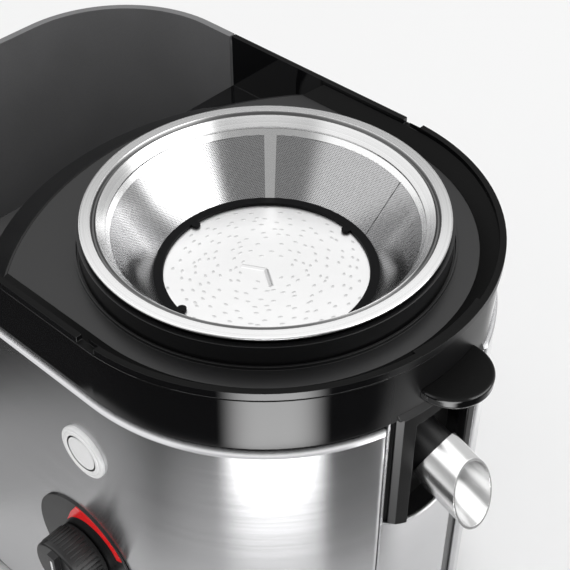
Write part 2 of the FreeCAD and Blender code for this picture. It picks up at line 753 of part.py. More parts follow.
def top_collar():
    collar = joined([collar_wall(), lip_pad(), collar_tray(), pulp_ramp(), spout_apron()])
    notches = []
    for low, high in ((-LIP_R - CUT, -COLLAR_IN), (COLLAR_IN, LIP_R + CUT)):
        x_range = (NOTCH_X - NOTCH_W / 2, NOTCH_X + NOTCH_W / 2)
        notches.append(block(x_range, (low, high), (CREST_Z, LIP_TOP + CUT)))
    return collar.cut(notches)


def juice_bowl():
    shell = revolve([
        (TUBE_IN, BOWL_FLOOR), (RING_R, BOWL_FLOOR), (RING_R, RING_TOP), (BOWL_IN, RING_TOP),
        (BOWL_IN, BOWL_FLOOR_TOP), (TUBE_OUT, BOWL_FLOOR_TOP), (TUBE_OUT, TUBE_TOP), (TUBE_IN, TUBE_TOP),
    ])
    flange = prism(tray_outline(LEDGE_R, BRINK_X, BRINK_R), LEDGE_BOTTOM, LEDGE_TOP)
    flange = flange.cut(rod(BOWL_IN + BOWL_WALL / 2, LEDGE_BOTTOM - CUT, LEDGE_TOP + CUT))
    bead_in = RING_R + BEAD_GAP
    bead = ring(bead_in, bead_in + BEAD_W, LEDGE_BOTTOM, LEDGE_TOP + BEAD_H)
    reach = -SPOUT_X / 2
    stub = spout_rod(STUB_R, reach, STUB_END).cut(rod(BOWL_IN + BOWL_WALL / 2, 0, RIM_TOP))
    bowl = joined([shell, flange, bead, stub])
    bore = spout_rod(STUB_BORE, reach, STUB_END + CUT).cut(rod(TUBE_OUT + BOWL_WALL, 0, RIM_TOP))
    bore = bore.cut(rod(BOWL_IN, 0, BOWL_FLOOR_TOP))
    groove_in = STUB_R + SEAL_PROUD - 2 * SEAL_R
    groove = spout_rod(STUB_R + CUT, SEAL_AT - SEAL_R, SEAL_AT + SEAL_R)
    groove = groove.cut(spout_rod(groove_in, SEAL_AT - CUT, SEAL_AT + CUT))
    return bowl.cut([bore, groove])


def spout_seal():
    middle_r = STUB_R + SEAL_PROUD - SEAL_R
    return Part.makeTorus(middle_r, SEAL_R, spout_point(SEAL_AT), spout_direction())


def spout_sleeve():
    tube = spout_rod(SLEEVE_R, SLEEVE_START, SLEEVE_END + 2 * SLEEVE_R)
    tube = tube.cut(spout_rod(SLEEVE_IN, SLEEVE_START - CUT, SLEEVE_END + 3 * SLEEVE_R))
    tilt = math.radians(MOUTH_TILT)
    outward = Vector(math.cos(tilt), 0, math.sin(tilt))
    beyond = Part.makeCylinder(4 * SLEEVE_R, 4 * SLEEVE_R, spout_point(SLEEVE_END), outward)
    return tube.cut(beyond)


def spout_reach():
    """Furthest X of the sleeve's mouth."""
    tilt = math.radians(SPOUT_TILT)
    lean = math.radians(SPOUT_TILT + MOUTH_TILT)
    lower_edge = SLEEVE_R * (math.tan(lean) * math.cos(tilt) - math.sin(tilt))
    return SPOUT_X + SLEEVE_END * math.cos(tilt) + lower_edge


def lift_tab():
    disc = rod(TAB_R, TAB_TOP - TAB_T, TAB_TOP, COLLAR_R)
    middle_z = TAB_TOP - TAB_T / 2
    edge_round = min(TAB_ROUND, 0.4 * TAB_T)
    disc = rounded(disc, edge_round, lambda point: abs(point.z - middle_z) > TAB_T / 4)
    return disc.cut(rod(COLLAR_R + SKIN_GAP, TAB_TOP - TAB_T - CUT, TAB_TOP + CUT))


def sieve_rim():
    edge_r = RIM_R - RIM_T / 2
    flat_in = RIM_R - RIM_FLAT
    groove_in = flat_in - RIM_GROOVE_W
    groove_z = RIM_TOP - RIM_GROOVE_D
    band_z = RIM_TOP - BAND_DROP
    profile = [
        (edge_r, RIM_TOP), (flat_in, RIM_TOP),
        (flat_in - RIM_SHEET, groove_z), (groove_in + RIM_SHEET, groove_z), (groove_in, groove_z + RIM_SHEET),
        (BAND_IN, band_z), (BAND_IN, band_z - RIM_SHEET),
        (groove_in, groove_z - RIM_SHEET / 2), (flat_in, groove_z - RIM_SHEET / 2),
        (flat_in + RIM_SHEET, RIM_BOTTOM), (edge_r, RIM_BOTTOM),
    ]
    points = [Vector(radius, 0, height) for radius, height in profile]
    edges = [line(start, end) for start, end in zip(points, points[1:])]
    edges.append(arc(points[-1], Vector(RIM_R, 0, RIM_BOTTOM + RIM_T / 2), points[0]))
    return Part.Face(Part.Wire(edges)).revolve(Vector(0, 0, 0), Vector(0, 0, 1), 360)


def cone_wall(inset, thickness):
    """Profile of the sieve's cone, set in towards the axis by an inset."""
    top_z = RIM_TOP - BAND_DROP - RIM_SHEET - SKIN_GAP
    bottom_z = HUB_RING_TOP + SKIN_GAP
    bottom_r = HUB_R - MESH_T - inset
    top_r = BAND_IN - inset
    return [
        (bottom_r, bottom_z), (bottom_r + thickness, bottom_z), (top_r + thickness, top_z), (top_r, top_z),
    ]


def sieve_mesh():
    cone = revolve(cone_wall(0.0, MESH_T))
    points = [Vector(radius, 0, height) for radius, height in cone_wall(SEAM_T, SEAM_T + MESH_T / 2)]
    strip = Part.Face(Part.makePolygon(points + points[:1]))
    strip = strip.revolve(Vector(0, 0, 0), Vector(0, 0, 1), SEAM_TO_DEG - SEAM_FROM_DEG)
    return joined([cone, turned(strip, SEAM_FROM_DEG)])


def coupling_prism(play, bottom, top):
    """Six-sided drive dog or its socket."""
    corners = [polar(COUPLING_R + play, 60.0 * step) for step in range(6)]
    return prism(Part.makePolygon(corners + corners[:1]), bottom, top)


def sieve_hub():
    skirt_in = TUBE_OUT + SKIRT_GAP
    socket_r = COUPLING_R + PART_GAP + SOCKET_WALL
    disc_in = DISC_R + SKIN_GAP
    web = rod(HUB_R, WEB_BOTTOM, WEB_TOP)
    rim = ring(disc_in, HUB_R, WEB_BOTTOM, HUB_RING_TOP)
    skirt = ring(skirt_in, skirt_in + SKIRT_WALL, WEB_BOTTOM - SKIRT_H, WEB_TOP)
    socket = rod(socket_r, COUPLING_BOTTOM, WEB_TOP)
    lug_z = WEB_TOP + DISC_T + SKIN_GAP
    lugs = []
    for degrees in LUG_AZIMUTHS:
        spot = polar(disc_in + LUG_R - LUG_REACH, degrees)
        lugs.append(rod(LUG_R, lug_z, HUB_RING_TOP, spot.x, spot.y))
    hub = joined([web, rim, skirt, socket] + lugs)
    pocket = coupling_prism(PART_GAP, COUPLING_BOTTOM - CUT, WEB_BOTTOM)
    return hub.cut(pocket)


def grater_disc():
    """Disc with two low roof-shaped ridges at its middle."""
    disc_top = WEB_TOP + DISC_T
    disc = rod(DISC_R, WEB_TOP, disc_top)
    half = CUTTER_W / 2
    spots = [(-half, WEB_TOP), (half, WEB_TOP), (half, disc_top), (0, disc_top + CUTTER_H), (-half, disc_top)]
    corners = [Vector(0, y, z) for y, z in spots]
    ridge = Part.Face(Part.makePolygon(corners + corners[:1])).extrude(Vector(CUTTER_L, 0, 0))
    cutters = []
    for degrees in CUTTER_AZIMUTHS:
        cutter = turned(ridge, degrees)
        cutter.translate(Vector(CUTTER_X, CUTTER_Y, 0))
        cutters.append(cutter)
    return joined([disc] + cutters)


def motor_shaft():
    return rod(SHAFT_R, FAN_BOTTOM, COUPLING_TOP)


def drive_coupling():
    return coupling_prism(0.0, COUPLING_BOTTOM, COUPLING_TOP).cut(rod(SHAFT_R + PRESS_GAP, 0, RIM_TOP))


def tower_bush():
    top = TOWER_TOP - SHAFT_SEAL_T
    return ring(SHAFT_R + RUNNING_FIT, BUSH_R, top - BUSH_H, top)


def shaft_seal():
    return ring(SHAFT_R + RUNNING_FIT, BUSH_R, TOWER_TOP - SHAFT_SEAL_T, TOWER_TOP)


def bolt_spots():
    """Places of the motor's long bolts and of the dampers above them."""
    turn = 360.0 / BOLT_COUNT
    return [polar(BOLT_CIRCLE_R, BOLT_START_DEG + turn * step) for step in range(BOLT_COUNT)]


def bolt_rods(radius, bottom, top):
    """One cylinder at each of the bolts' places."""
    return [rod(radius, bottom, top, spot.x, spot.y) for spot in bolt_spots()]


def motor_dampers():
    return Part.makeCompound(bolt_rods(DAMPER_R, BRACKET_TOP, DECK_BOTTOM))


def bracket(plate_bottom, skirt_range):
    """Cup with four ears that holds a bearing and clamps the stator core."""
    plate_top = plate_bottom + BRACKET_T
    plate = rod(BRACKET_R, plate_bottom, plate_top)
    ear = block((0, BOLT_CIRCLE_R), (-EAR_W / 2, EAR_W / 2), (plate_bottom, plate_top))
    ends = bolt_rods(EAR_W / 2, plate_bottom, plate_top)
    cup = joined([plate] + around(ear, BOLT_COUNT, BOLT_START_DEG) + ends)
    cup = cup.fuse(ring(BRACKET_R - BRACKET_SKIRT, BRACKET_R, *skirt_range)).removeSplitter()
    tools = bolt_rods(BOLT_R + PRESS_GAP, plate_bottom - CUT, plate_top + CUT)
    tools.append(rod(BEARING_R + PRESS_GAP, plate_bottom - CUT, plate_top + CUT))
    return cup.cut(tools)


def upper_bracket():
    plate_bottom = BRACKET_TOP - BRACKET_T
    return bracket(plate_bottom, (CORE_TOP, plate_bottom))


def lower_bracket():
    return bracket(LOWER_BOTTOM, (LOWER_TOP, CORE_BOTTOM))


def bearing(bottom):
    """Ball bearing as one ring with the seal grooves on its faces."""
    race = ring(SHAFT_R + RUNNING_FIT, BEARING_R, bottom, bottom + BEARING_W)
    middle = (SHAFT_R + BEARING_R) / 2
    faces = (bottom, bottom + BEARING_W)
    return race.cut([Part.makeTorus(middle, BEARING_GROOVE_R, Vector(0, 0, z)) for z in faces])


def upper_bearing():
    return bearing(BRACKET_TOP - BRACKET_T + (BRACKET_T - BEARING_W) / 2)


def lower_bearing():
    return bearing(LOWER_BOTTOM + (BRACKET_T - BEARING_W) / 2)


def motor_bolts():
    head_bottom = LOWER_BOTTOM - BOLT_HEAD_H
    heads = bolt_rods(BOLT_HEAD_R, head_bottom, LOWER_BOTTOM)
    shanks = bolt_rods(BOLT_R, head_bottom, BRACKET_TOP)
    return Part.makeCompound([joined([head, shank]) for head, shank in zip(heads, shanks)])


def stator_core():
    return ring(CORE_IN, BRACKET_R, CORE_BOTTOM, CORE_TOP)


def field_coils():
    """End turns of the two field coils, above and below the core."""
    coils = []
    section = [(COIL_IN, 0.0), (COIL_OUT, 0.0), (COIL_OUT, COIL_H), (COIL_IN, COIL_H)]
    points = [Vector(radius, 0, height) for radius, height in section]
    face = Part.Face(Part.makePolygon(points + points[:1]))
    arch = face.revolve(Vector(0, 0, 0), Vector(0, 0, 1), COIL_SPAN_DEG)
    for level in (CORE_TOP, CORE_BOTTOM - COIL_H):
        for start in (-COIL_SPAN_DEG / 2, 180.0 - COIL_SPAN_DEG / 2):
            coil = turned(arch, start)
            coil.translate(Vector(0, 0, level))
            coils.append(coil)
    return Part.makeCompound(coils)


def armature_core():
    core = ring(SHAFT_R + PRESS_GAP, CORE_IN - AIR_GAP, CORE_BOTTOM, CORE_TOP)
    slot_in = CORE_IN - AIR_GAP - SLOT_D
    slot = block((slot_in, CORE_IN + CUT), (-SLOT_W / 2, SLOT_W / 2), (CORE_BOTTOM - CUT, CORE_TOP + CUT))
    return core.cut(around(slot, ARMATURE_SLOTS))


def armature_windings():
    upper = ring(WINDING_IN, WINDING_OUT, CORE_TOP, CORE_TOP + WINDING_H)
    lower = ring(WINDING_IN, WINDING_OUT, CORE_BOTTOM - WINDING_H, CORE_BOTTOM)
    return Part.makeCompound([upper, lower])


def commutator():
    return ring(SHAFT_R + PRESS_GAP, COMMUTATOR_R, COMMUTATOR_BOTTOM, COMMUTATOR_TOP)


def cooling_fan():
    hub = rod(FAN_HUB_R, FAN_BOTTOM, FAN_TOP)
    disc = rod(FAN_R, FAN_TOP - FAN_DISC_T, FAN_TOP)
    blade = block((SHAFT_R, FAN_R), (-FAN_BLADE_T / 2, FAN_BLADE_T / 2), (FAN_BOTTOM, FAN_TOP))
    fan = joined([hub, disc] + around(blade, FAN_BLADES))
    return fan.cut(rod(SHAFT_R + PRESS_GAP, FAN_BOTTOM - CUT, FAN_TOP + CUT))


def brush_length():
    """Radial room of a brush holder, from beside the commutator to the bracket's skirt."""
    return BRACKET_R - BRACKET_SKIRT - HOLDER_TUCK - COMMUTATOR_R - AIR_GAP


def brush_reach():
    """Length of a brush: its share of the room between the commutator and the holder's end."""
    return BRUSH_SHARE * (brush_length() - BRUSH_WALL + AIR_GAP - PART_GAP)


def on_both_sides(shape):
    """The piece on +X and its copy half a turn away."""
    return Part.makeCompound([shape, turned(shape, 180.0)])


def brush_holders():
    start = COMMUTATOR_R + AIR_GAP
    half_y = BRUSH_W / 2 + BRUSH_WALL
    top = LOWER_TOP + BRUSH_H + 2 * BRUSH_WALL
    holder = block((start, start + brush_length()), (-half_y, half_y), (LOWER_TOP, top))
    room_half = BRUSH_W / 2 + SKIN_GAP
    room = block(
        (start - CUT, start + brush_length() - BRUSH_WALL),
        (-room_half, room_half),
        (LOWER_TOP + BRUSH_WALL - SKIN_GAP, top - BRUSH_WALL + SKIN_GAP),
    )
    return on_both_sides(holder.cut(room))


def carbon_brushes():
    start = COMMUTATOR_R + PART_GAP
    z_range = (LOWER_TOP + BRUSH_WALL, LOWER_TOP + BRUSH_WALL + BRUSH_H)
    return on_both_sides(block((start, start + brush_reach()), (-BRUSH_W / 2, BRUSH_W / 2), z_range))


def brush_springs():
    start = COMMUTATOR_R + PART_GAP + brush_reach()
    end = COMMUTATOR_R + AIR_GAP + brush_length() - BRUSH_WALL
    middle = Vector(start, 0, LOWER_TOP + BRUSH_WALL + BRUSH_H / 2)
    return on_both_sides(Part.makeCylinder(BRUSH_SPRING_R, end - start, middle, Vector(1, 0, 0)))


def dial_bezel():
    front_y = -PANEL_R - BEZEL_T
    bezel = front_rod(BEZEL_R, BEZEL_T, front_y, DIAL_X, DIAL_Z)
    hole_r = DIAL_SHAFT_R + SHAFT_HOLE_GAP
    return bezel.cut(front_rod(hole_r, BEZEL_T + 2 * CUT, front_y - CUT, DIAL_X, DIAL_Z))


def red_scale():
    """Tapered scale on the bezel, between its edge and a circle set off the dial's centre."""
    front_y = -PANEL_R - BEZEL_T - SCALE_T
    inner_x, inner_z = DIAL_X + SCALE_INNER_X, DIAL_Z + SCALE_INNER_Z
    outer = front_rod(BEZEL_R - SCALE_EDGE, SCALE_T, front_y, DIAL_X, DIAL_Z)
    inner = front_rod(SCALE_INNER_R, SCALE_T + 2 * CUT, front_y - CUT, inner_x, inner_z)
    end = math.radians(SCALE_END_DEG)
    far = 2.0 * BEZEL_R
    spots = [SCALE_TIP, SCALE_SHOULDER, SCALE_TOP, (far, far), (far * math.cos(end), far * math.sin(end))]
    spots.append((SCALE_INNER_X, SCALE_INNER_Z))
    corners = [Vector(DIAL_X + x, front_y - CUT, DIAL_Z + z) for x, z in spots]
    keep = Part.Face(Part.makePolygon(corners + corners[:1])).extrude(Vector(0, SCALE_T + 2 * CUT, 0))
    return outer.cut(inner).common(keep)


def dial_knob():
    back_y = -PANEL_R - BEZEL_T - SCALE_T - PART_GAP
    knob = front_rod(KNOB_R, KNOB_H, back_y - KNOB_H, DIAL_X, DIAL_Z)
    knob = rounded(knob, KNOB_ROUND, lambda point: point.y < back_y - KNOB_H / 2)
    rib_half = KNOB_RIB_W / 2
    rib = block(
        (DIAL_X - rib_half, DIAL_X + rib_half),
        (back_y - KNOB_H - KNOB_RIB_H, back_y - KNOB_H / 2),
        (DIAL_Z - KNOB_R + KNOB_RIB_W, DIAL_Z + KNOB_R - KNOB_ROUND),
    )
    socket_r = DIAL_SHAFT_R + PRESS_GAP
    socket = front_rod(socket_r, DIAL_SHAFT_GRIP + CUT, back_y - DIAL_SHAFT_GRIP, DIAL_X, DIAL_Z)
    return joined([knob, rib]).cut(socket)


def dial_shaft():
    knob_back = -PANEL_R - BEZEL_T - SCALE_T - PART_GAP
    start = knob_back - DIAL_SHAFT_GRIP
    end = -HOUSING_IN + SWITCH_T / 2
    return front_rod(DIAL_SHAFT_R, end - start, start, DIAL_X, DIAL_Z)


def rotary_switch():
    half = SWITCH_W / 2
    front_y = -HOUSING_IN
    y_range = (front_y, front_y + SWITCH_T)
    body = block((DIAL_X - half, DIAL_X + half), y_range, (DIAL_Z - half, DIAL_Z + half))
    depth = SWITCH_T / 2 + PART_GAP
    return body.cut(front_rod(DIAL_SHAFT_R + RUNNING_FIT, depth + CUT, front_y - CUT, DIAL_X, DIAL_Z))


def badge_disc():
    disc = front_rod(BADGE_R, BADGE_T, -PANEL_R - BADGE_T, BADGE_X, BADGE_Z)
    return rounded(disc, BADGE_ROUND, lambda point: point.y < -PANEL_R - BADGE_T / 2)


def control_board():
    half_l, half_w = BOARD_L / 2, BOARD_W / 2
    return block((BOARD_X - half_l, BOARD_X + half_l), (-half_w, half_w), (BOARD_BOTTOM, BOARD_TOP))


def on_board(size, y):
    """Box that stands on the control board."""
    length, width, height = size
    x_range = (BOARD_X - length / 2, BOARD_X + length / 2)
    return block(x_range, (y - width / 2, y + width / 2), (BOARD_TOP, BOARD_TOP + height))


def suppressor_capacitor():
    return on_board(CAPACITOR_SIZE, CAPACITOR_Y)


def heat_sink():
    length, width, height = SINK_SIZE
    sink = on_board(SINK_SIZE, SINK_Y)
    pitch = (length - SINK_FIN_T) / (SINK_FINS - 1)
    left = BOARD_X - length / 2
    y_range = (SINK_Y - width / 2 + SINK_BASE, SINK_Y + width / 2 + CUT)
    z_range = (BOARD_TOP - CUT, BOARD_TOP + height + CUT)
    gaps = []
    for step in range(SINK_FINS - 1):
        start = left + step * pitch + SINK_FIN_T
        gaps.append(block((start, start + pitch - SINK_FIN_T), y_range, z_range))
    return sink.cut(gaps)


def cord_gland():
    inner_y = HOUSING_IN - GLAND_FLANGE_T
    body = front_rod(GLAND_R, PANEL_R - inner_y + GLAND_FLANGE_T, inner_y, GLAND_X, GLAND_Z)
    outer = front_rod(GLAND_FLANGE_R, GLAND_FLANGE_T, PANEL_R, GLAND_X, GLAND_Z)
    inner = front_rod(GLAND_FLANGE_R, GLAND_FLANGE_T, inner_y, GLAND_X, GLAND_Z)
    bore = front_rod(GLAND_BORE_R, PANEL_R, HOUSING_IN - CUT, GLAND_X, GLAND_Z)
    return joined([body, outer, inner]).cut(bore)


def pulp_container():
    shell = prism(container_outline(0.0), CONTAINER_BOTTOM, LIP_TOP)
    lip = prism(container_outline(-CONTAINER_LIP), LIP_BOTTOM, LIP_TOP)
    lip = lip.cut(block((-CONTAINER_RIGHT, 0), (-LIP_R - CUT, LIP_R + CUT), (0, LIP_TOP + CUT)))
    room = prism(container_outline(CONTAINER_WALL), CONTAINER_BOTTOM + CONTAINER_FLOOR, LIP_TOP + CUT)
    fill_half = CONTAINER_HALF - CONTAINER_WALL
    fill_x = (-CONTAINER_RIGHT - CONTAINER_WALL - CUT, 0)
    fill_z = (COLLAR_BOTTOM - CONTAINER_FILL_DROP, LIP_TOP + CUT)
    fill = block(fill_x, (-fill_half, fill_half), fill_z)
    return joined([shell, lip]).cut([room, fill])


PIECES = [
    rubber_feet, base_plate, base_screws,
    motor_housing, front_steel_panel, rear_steel_panel, spout_side_panel,
    top_collar, juice_bowl, lift_tab, spout_seal, spout_sleeve,
    sieve_rim, sieve_mesh, sieve_hub, grater_disc,
    motor_shaft, drive_coupling, tower_bush, shaft_seal,
    motor_dampers, upper_bracket, lower_bracket, upper_bearing, lower_bearing, motor_bolts,
    stator_core, field_coils, armature_core, armature_windings, commutator, cooling_fan,
    brush_holders, carbon_brushes, brush_springs,
    dial_bezel, red_scale, dial_knob, dial_shaft, rotary_switch, badge_disc,
    control_board, suppressor_capacitor, heat_sink, cord_gland, pulp_container,
]


def own_frame():
    """Place of the motor axis in the part's own frame."""
    left = CONTAINER_LEFT + CONTAINER_LIP
    front = PANEL_R + BEZEL_T + SCALE_T + PART_GAP + KNOB_H + KNOB_RIB_H
    back = PANEL_R + GLAND_FLANGE_T
    return Vector((left - spout_reach()) / 2, (front - back) / 2, 0)


def main():
    os.makedirs("parts", exist_ok=True)
    for piece in PIECES:
        shape = piece()
        shape.translate(own_frame())
        shape.exportStep("parts/" + piece.__name__ + ".step")
        print(piece.__name__, len(shape.Solids), shape.isValid(), round(shape.Volume, 1))


main()
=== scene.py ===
from collections import namedtuple
import json
import math

import bmesh
import bpy
from mathutils import Matrix, Vector


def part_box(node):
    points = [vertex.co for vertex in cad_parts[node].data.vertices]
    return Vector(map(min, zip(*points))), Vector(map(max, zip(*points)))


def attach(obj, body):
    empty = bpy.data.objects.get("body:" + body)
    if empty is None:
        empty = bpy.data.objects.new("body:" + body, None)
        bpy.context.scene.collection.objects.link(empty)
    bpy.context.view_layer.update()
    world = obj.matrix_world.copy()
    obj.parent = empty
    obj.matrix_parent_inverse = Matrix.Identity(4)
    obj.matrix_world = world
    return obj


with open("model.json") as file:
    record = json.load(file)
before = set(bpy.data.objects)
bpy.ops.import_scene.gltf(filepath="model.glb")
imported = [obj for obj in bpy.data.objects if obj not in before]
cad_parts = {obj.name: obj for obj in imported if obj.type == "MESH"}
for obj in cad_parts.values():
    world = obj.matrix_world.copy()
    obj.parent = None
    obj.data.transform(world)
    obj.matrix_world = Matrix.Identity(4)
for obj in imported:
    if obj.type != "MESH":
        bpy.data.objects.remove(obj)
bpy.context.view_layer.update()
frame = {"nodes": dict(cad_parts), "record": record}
disc_low, disc_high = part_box("grater_disc")

bl_info = {
    "name": "Centrifugal juicer looks",
    "version": (1, 0, 0),
    "blender": (4, 5, 0),
    "location": "3D View > Sidebar > Juicer",
    "description": "Gives the packed juicer its finishes, sieve holes, grating teeth and studio",
    "category": "Object",
}

MM = 0.001
AXIS = Vector(((disc_low.x + disc_high.x) / 2.0, (disc_low.y + disc_high.y) / 2.0, 0.0))
GOLDEN_ANGLE = math.pi * (3.0 - math.sqrt(5.0))
HEX_ROW = math.sqrt(3.0) / 2.0
WELD_DISTANCE = 1e-7  # metres within which a mesh's double points are joined
BEVEL_SAMPLES = 6

# Sizes and places in the finishes
EDGE = 0.35 * MM  # rounding of a moulding's edges
MASK_EDGE = 0.1 * MM  # softness of the border between two finishes
ROLL_HEIGHT = 4.0 * MM  # height of the panels' rolled upper edge
ROLL_SLOPE = 1.15  # how steeply that edge leans in
GROOVE_IN = 72.4 * MM  # inner and outer radius of the groove on the sieve's rim, darkened there with painted shade
GROOVE_OUT = 75.1 * MM
GROOVE_EDGE = 0.5 * MM
SATIN_FROM = 92.0 * MM  # distances towards the spout over which the collar turns satin
SATIN_TO = 99.0 * MM
ETCHED_DROP = 8.0 * MM  # how far the collar's etched slope reaches down from the lip
FRONT_EDGE = 1.0 * MM  # soft end of the collar's etched front at the panels' top
RAISED_SHADE_EDGE = 0.3 * MM  # rise over which the grating disc's steel turns darker with painted shade

# Sides and proportions of small repeated forms
TOOTH_SIDES = 9
TOOTH_STRETCH = (0.75, 1.35, 1.0)
RIB_SIDES = 8
RIB_TAPER = 0.6

# Soft boxes that gloss sees: direction, half width and soft edge in degrees about the motor axis, and level
SoftBox = namedtuple("SoftBox", "direction half_width edge level")
WALL_LEVEL = 0.4
WALL_BOXES = (SoftBox(-140, 52, 8, 1.2), SoftBox(28, 30, 8, 4.0), SoftBox(85, 30, 8, 0.7))

# Bright ceiling: its level, the rise where it starts, its soft edge and its lean, in degrees
CEILING_LEVEL = 1.5
CEILING_FROM = 43.0
CEILING_EDGE = 2.5
CEILING_LEAN = 5.0
CEILING_TOWARDS = 135.0

# Reflection card on the floor: a ring with one light near the body and another beyond a border
CARD_INNER = 205.0 * MM
CARD_BORDER = 297.0 * MM
CARD_BORDER_EDGE = 4.0 * MM
CARD_OUTER = 3000.0 * MM
CARD_HEIGHT = 0.5 * MM
NEAR_LEVEL = 0.2
NEAR_BOXES = (
    SoftBox(-145, 40, 15, 0.45), SoftBox(-50, 28, 20, 0.6), SoftBox(-8, 16, 2, 0.2), SoftBox(70, 65, 8, 1.25))
FAR_LEVEL = 0.04
FAR_BOXES = (SoftBox(-44, 12, 12, 7.0), SoftBox(70, 30, 30, 0.7))

# Rest of the stage, in metres, and the camera's sensor in millimetres
FLOOR_HALF = 6.0
LAMP_SIZE = 2.5
LAMP_PLACE = Vector((0.0, 0.45, 1.7))
CLIP_START = 0.01
SENSOR_WIDTH = 36.0


# Settings that a user would change
def length(name, description, millimetres):
    """Property for a size, given in millimetres and kept in metres."""
    return bpy.props.FloatProperty(
        name=name, description=description, default=millimetres * MM, unit="LENGTH", precision=5)


def angle(name, description, degrees):
    """Property for an angle, given in degrees and kept in radians."""
    return bpy.props.FloatProperty(
        name=name, description=description, default=math.radians(degrees), subtype="ANGLE")


def colour(name, description, red, green, blue):
    """Property for a linear colour."""
    return bpy.props.FloatVectorProperty(
        name=name, description=description, default=(red, green, blue), subtype="COLOR", min=0.0, max=1.0)


def amount(name, description, value):
    """Property for a plain number."""
    return bpy.props.FloatProperty(name=name, description=description, default=value)


class SieveSettings(bpy.types.PropertyGroup):
    """Perforated sheet on the inside of the sieve's cone."""

    pitch: length("Hole pitch", "Distance between neighbouring holes", 0.86)
    hole: length("Hole radius", "Radius of one hole", 0.25)
    dimple: length("Dimple", "How far a hole's edge is pressed in", 0.004)
    border: length("Border", "Height of the plain strip above the holes", 2.6)
    stand_off: length("Stand-off", "Distance of the sheet from the solid cone", 0.03)
    tuck: length("Tuck", "How far the sheet runs into the hub", 0.7)
    top_radius: length("Top radius", "Inner radius at the cone's top", 69.0)
    bottom_radius: length("Bottom radius", "Inner radius at the cone's bottom", 50.6)
    seam_from: angle("Seam start", "Azimuth where the welded strip starts", 129.0)
    seam_to: angle("Seam end", "Azimuth where the welded strip ends", 134.0)
    joint_at: angle("Joint", "Azimuth of the thin joint line", 69.0)


class GraterSettings(bpy.types.PropertyGroup):
    """Teeth pressed up out of the grating disc."""

    count: bpy.props.IntProperty(name="Teeth", description="Number of teeth", default=190)
    inner: length("Inner radius", "Radius of the innermost teeth", 9.5)
    outer: length("Outer radius", "Radius of the outermost teeth", 43.5)
    radius: length("Tooth radius", "Radius of a tooth's foot", 1.05)
    height: length("Tooth height", "Height of a tooth", 0.23)
    sink: length("Tooth sink", "How far a tooth's foot lies in the disc", 0.03)
    sheet: length("Disc sheet", "Thickness of the disc under the teeth", 1.2)
    scatter: length("Scatter", "How far a tooth may stand off its place", 2.0)
    seed: bpy.props.IntProperty(name="Seed", description="Seed of the scatter", default=7)


class DialSettings(bpy.types.PropertyGroup):
    """Grip and pointer of the dial's knob."""

    ribs: bpy.props.IntProperty(name="Ribs", description="Ribs round the knob", default=44)
    rib_radius: length("Rib radius", "Radius of one grip rib", 0.55)
    rib_length: length("Rib length", "Length of one grip rib", 11.0)
    rib_start: length("Rib start", "Distance of the ribs from the knob's back", 2.0)
    knob_radius: length("Knob radius", "Radius of the solid knob", 17.0)
    pointer_width: length("Pointer width", "Width of the pointer line", 1.4)
    pointer_length: length("Pointer length", "Length of the pointer line", 8.0)
    pointer_thickness: length("Pointer thickness", "Thickness of the pointer line", 0.4)
    pointer_bevel: length("Pointer bevel", "Rounding of the pointer line's edges", 0.15)


class BadgeSettings(bpy.types.PropertyGroup):
    """Bare domed cap on the badge disc."""

    dome_radius: length("Dome radius", "Radius of the middle dome", 8.4)
    dome_height: length("Dome height", "Rise of the dome at its middle", 0.7)
    ring_inner: length("Ring inner radius", "Inner radius of the raised ring", 9.2)
    ring_outer: length("Ring outer radius", "Outer radius of the raised ring", 11.4)
    ring_height: length("Ring height", "Rise of the raised ring", 0.55)


class FinishSettings(bpy.types.PropertyGroup):
    """Colours of the visible finishes."""

    panel: colour("Panel steel", "Brushed steel of the body", 0.58, 0.58, 0.59)
    bright: colour("Bright steel", "Spun steel of the rim and spout", 0.80, 0.80, 0.80)
    sieve: colour("Sieve steel", "Perforated steel", 0.54, 0.54, 0.545)
    disc: colour("Disc steel", "Pressed steel of the grating disc", 0.85, 0.85, 0.85)
    gloss: colour("Black gloss", "Polished black plastic", 0.003, 0.003, 0.0034)
    satin: colour("Black satin", "Satin black plastic", 0.006, 0.006, 0.0064)
    plain: colour("Black plain", "Plain black plastic", 0.02, 0.02, 0.021)
    smoke: colour("Smoke", "Dark plastic of the pulp container", 0.16, 0.16, 0.163)
    white: colour("White gloss", "White badge", 0.93, 0.93, 0.93)
    red: colour("Red", "Printed scale", 0.88, 0.014, 0.016)


class StageSettings(bpy.types.PropertyGroup):
    """Camera, floor and light."""

    camera_place: bpy.props.FloatVectorProperty(
        name="Camera place", description="Where the camera stands, from the foot of the motor axis",
        default=(0.2846, -0.2974, 0.5908), subtype="TRANSLATION", unit="LENGTH")
    camera_turn: angle("Camera turn", "Turn of the camera from the dial towards the spout", 42.6)
    camera_rise: angle("Camera rise", "Height of the camera above the horizon", 41.7)
    lens: amount("Lens", "Focal length on a 36 mm sensor", 77.0)
    floor: colour("Floor", "Pale floor", 0.93, 0.93, 0.93)
    room: amount("Room", "Brightness of the even light", 0.8)
    top_lamp: amount("Top lamp", "Radiance of the lamp overhead", 0.55)


# Node trees written as expressions
class Term:
    """Output of a node that can be used as a number in an expression."""

    def __init__(self, graph, socket):
        self.graph = graph
        self.socket = socket

    def __add__(self, other):
        return self.graph.maths("ADD", self, other)

    __radd__ = __add__

    def __sub__(self, other):
        return self.graph.maths("SUBTRACT", self, other)

    def __rsub__(self, other):
        return self.graph.maths("SUBTRACT", other, self)

    def __mul__(self, other):
        return self.graph.maths("MULTIPLY", self, other)

    __rmul__ = __mul__

    def __truediv__(self, other):
        return self.graph.maths("DIVIDE", self, other)


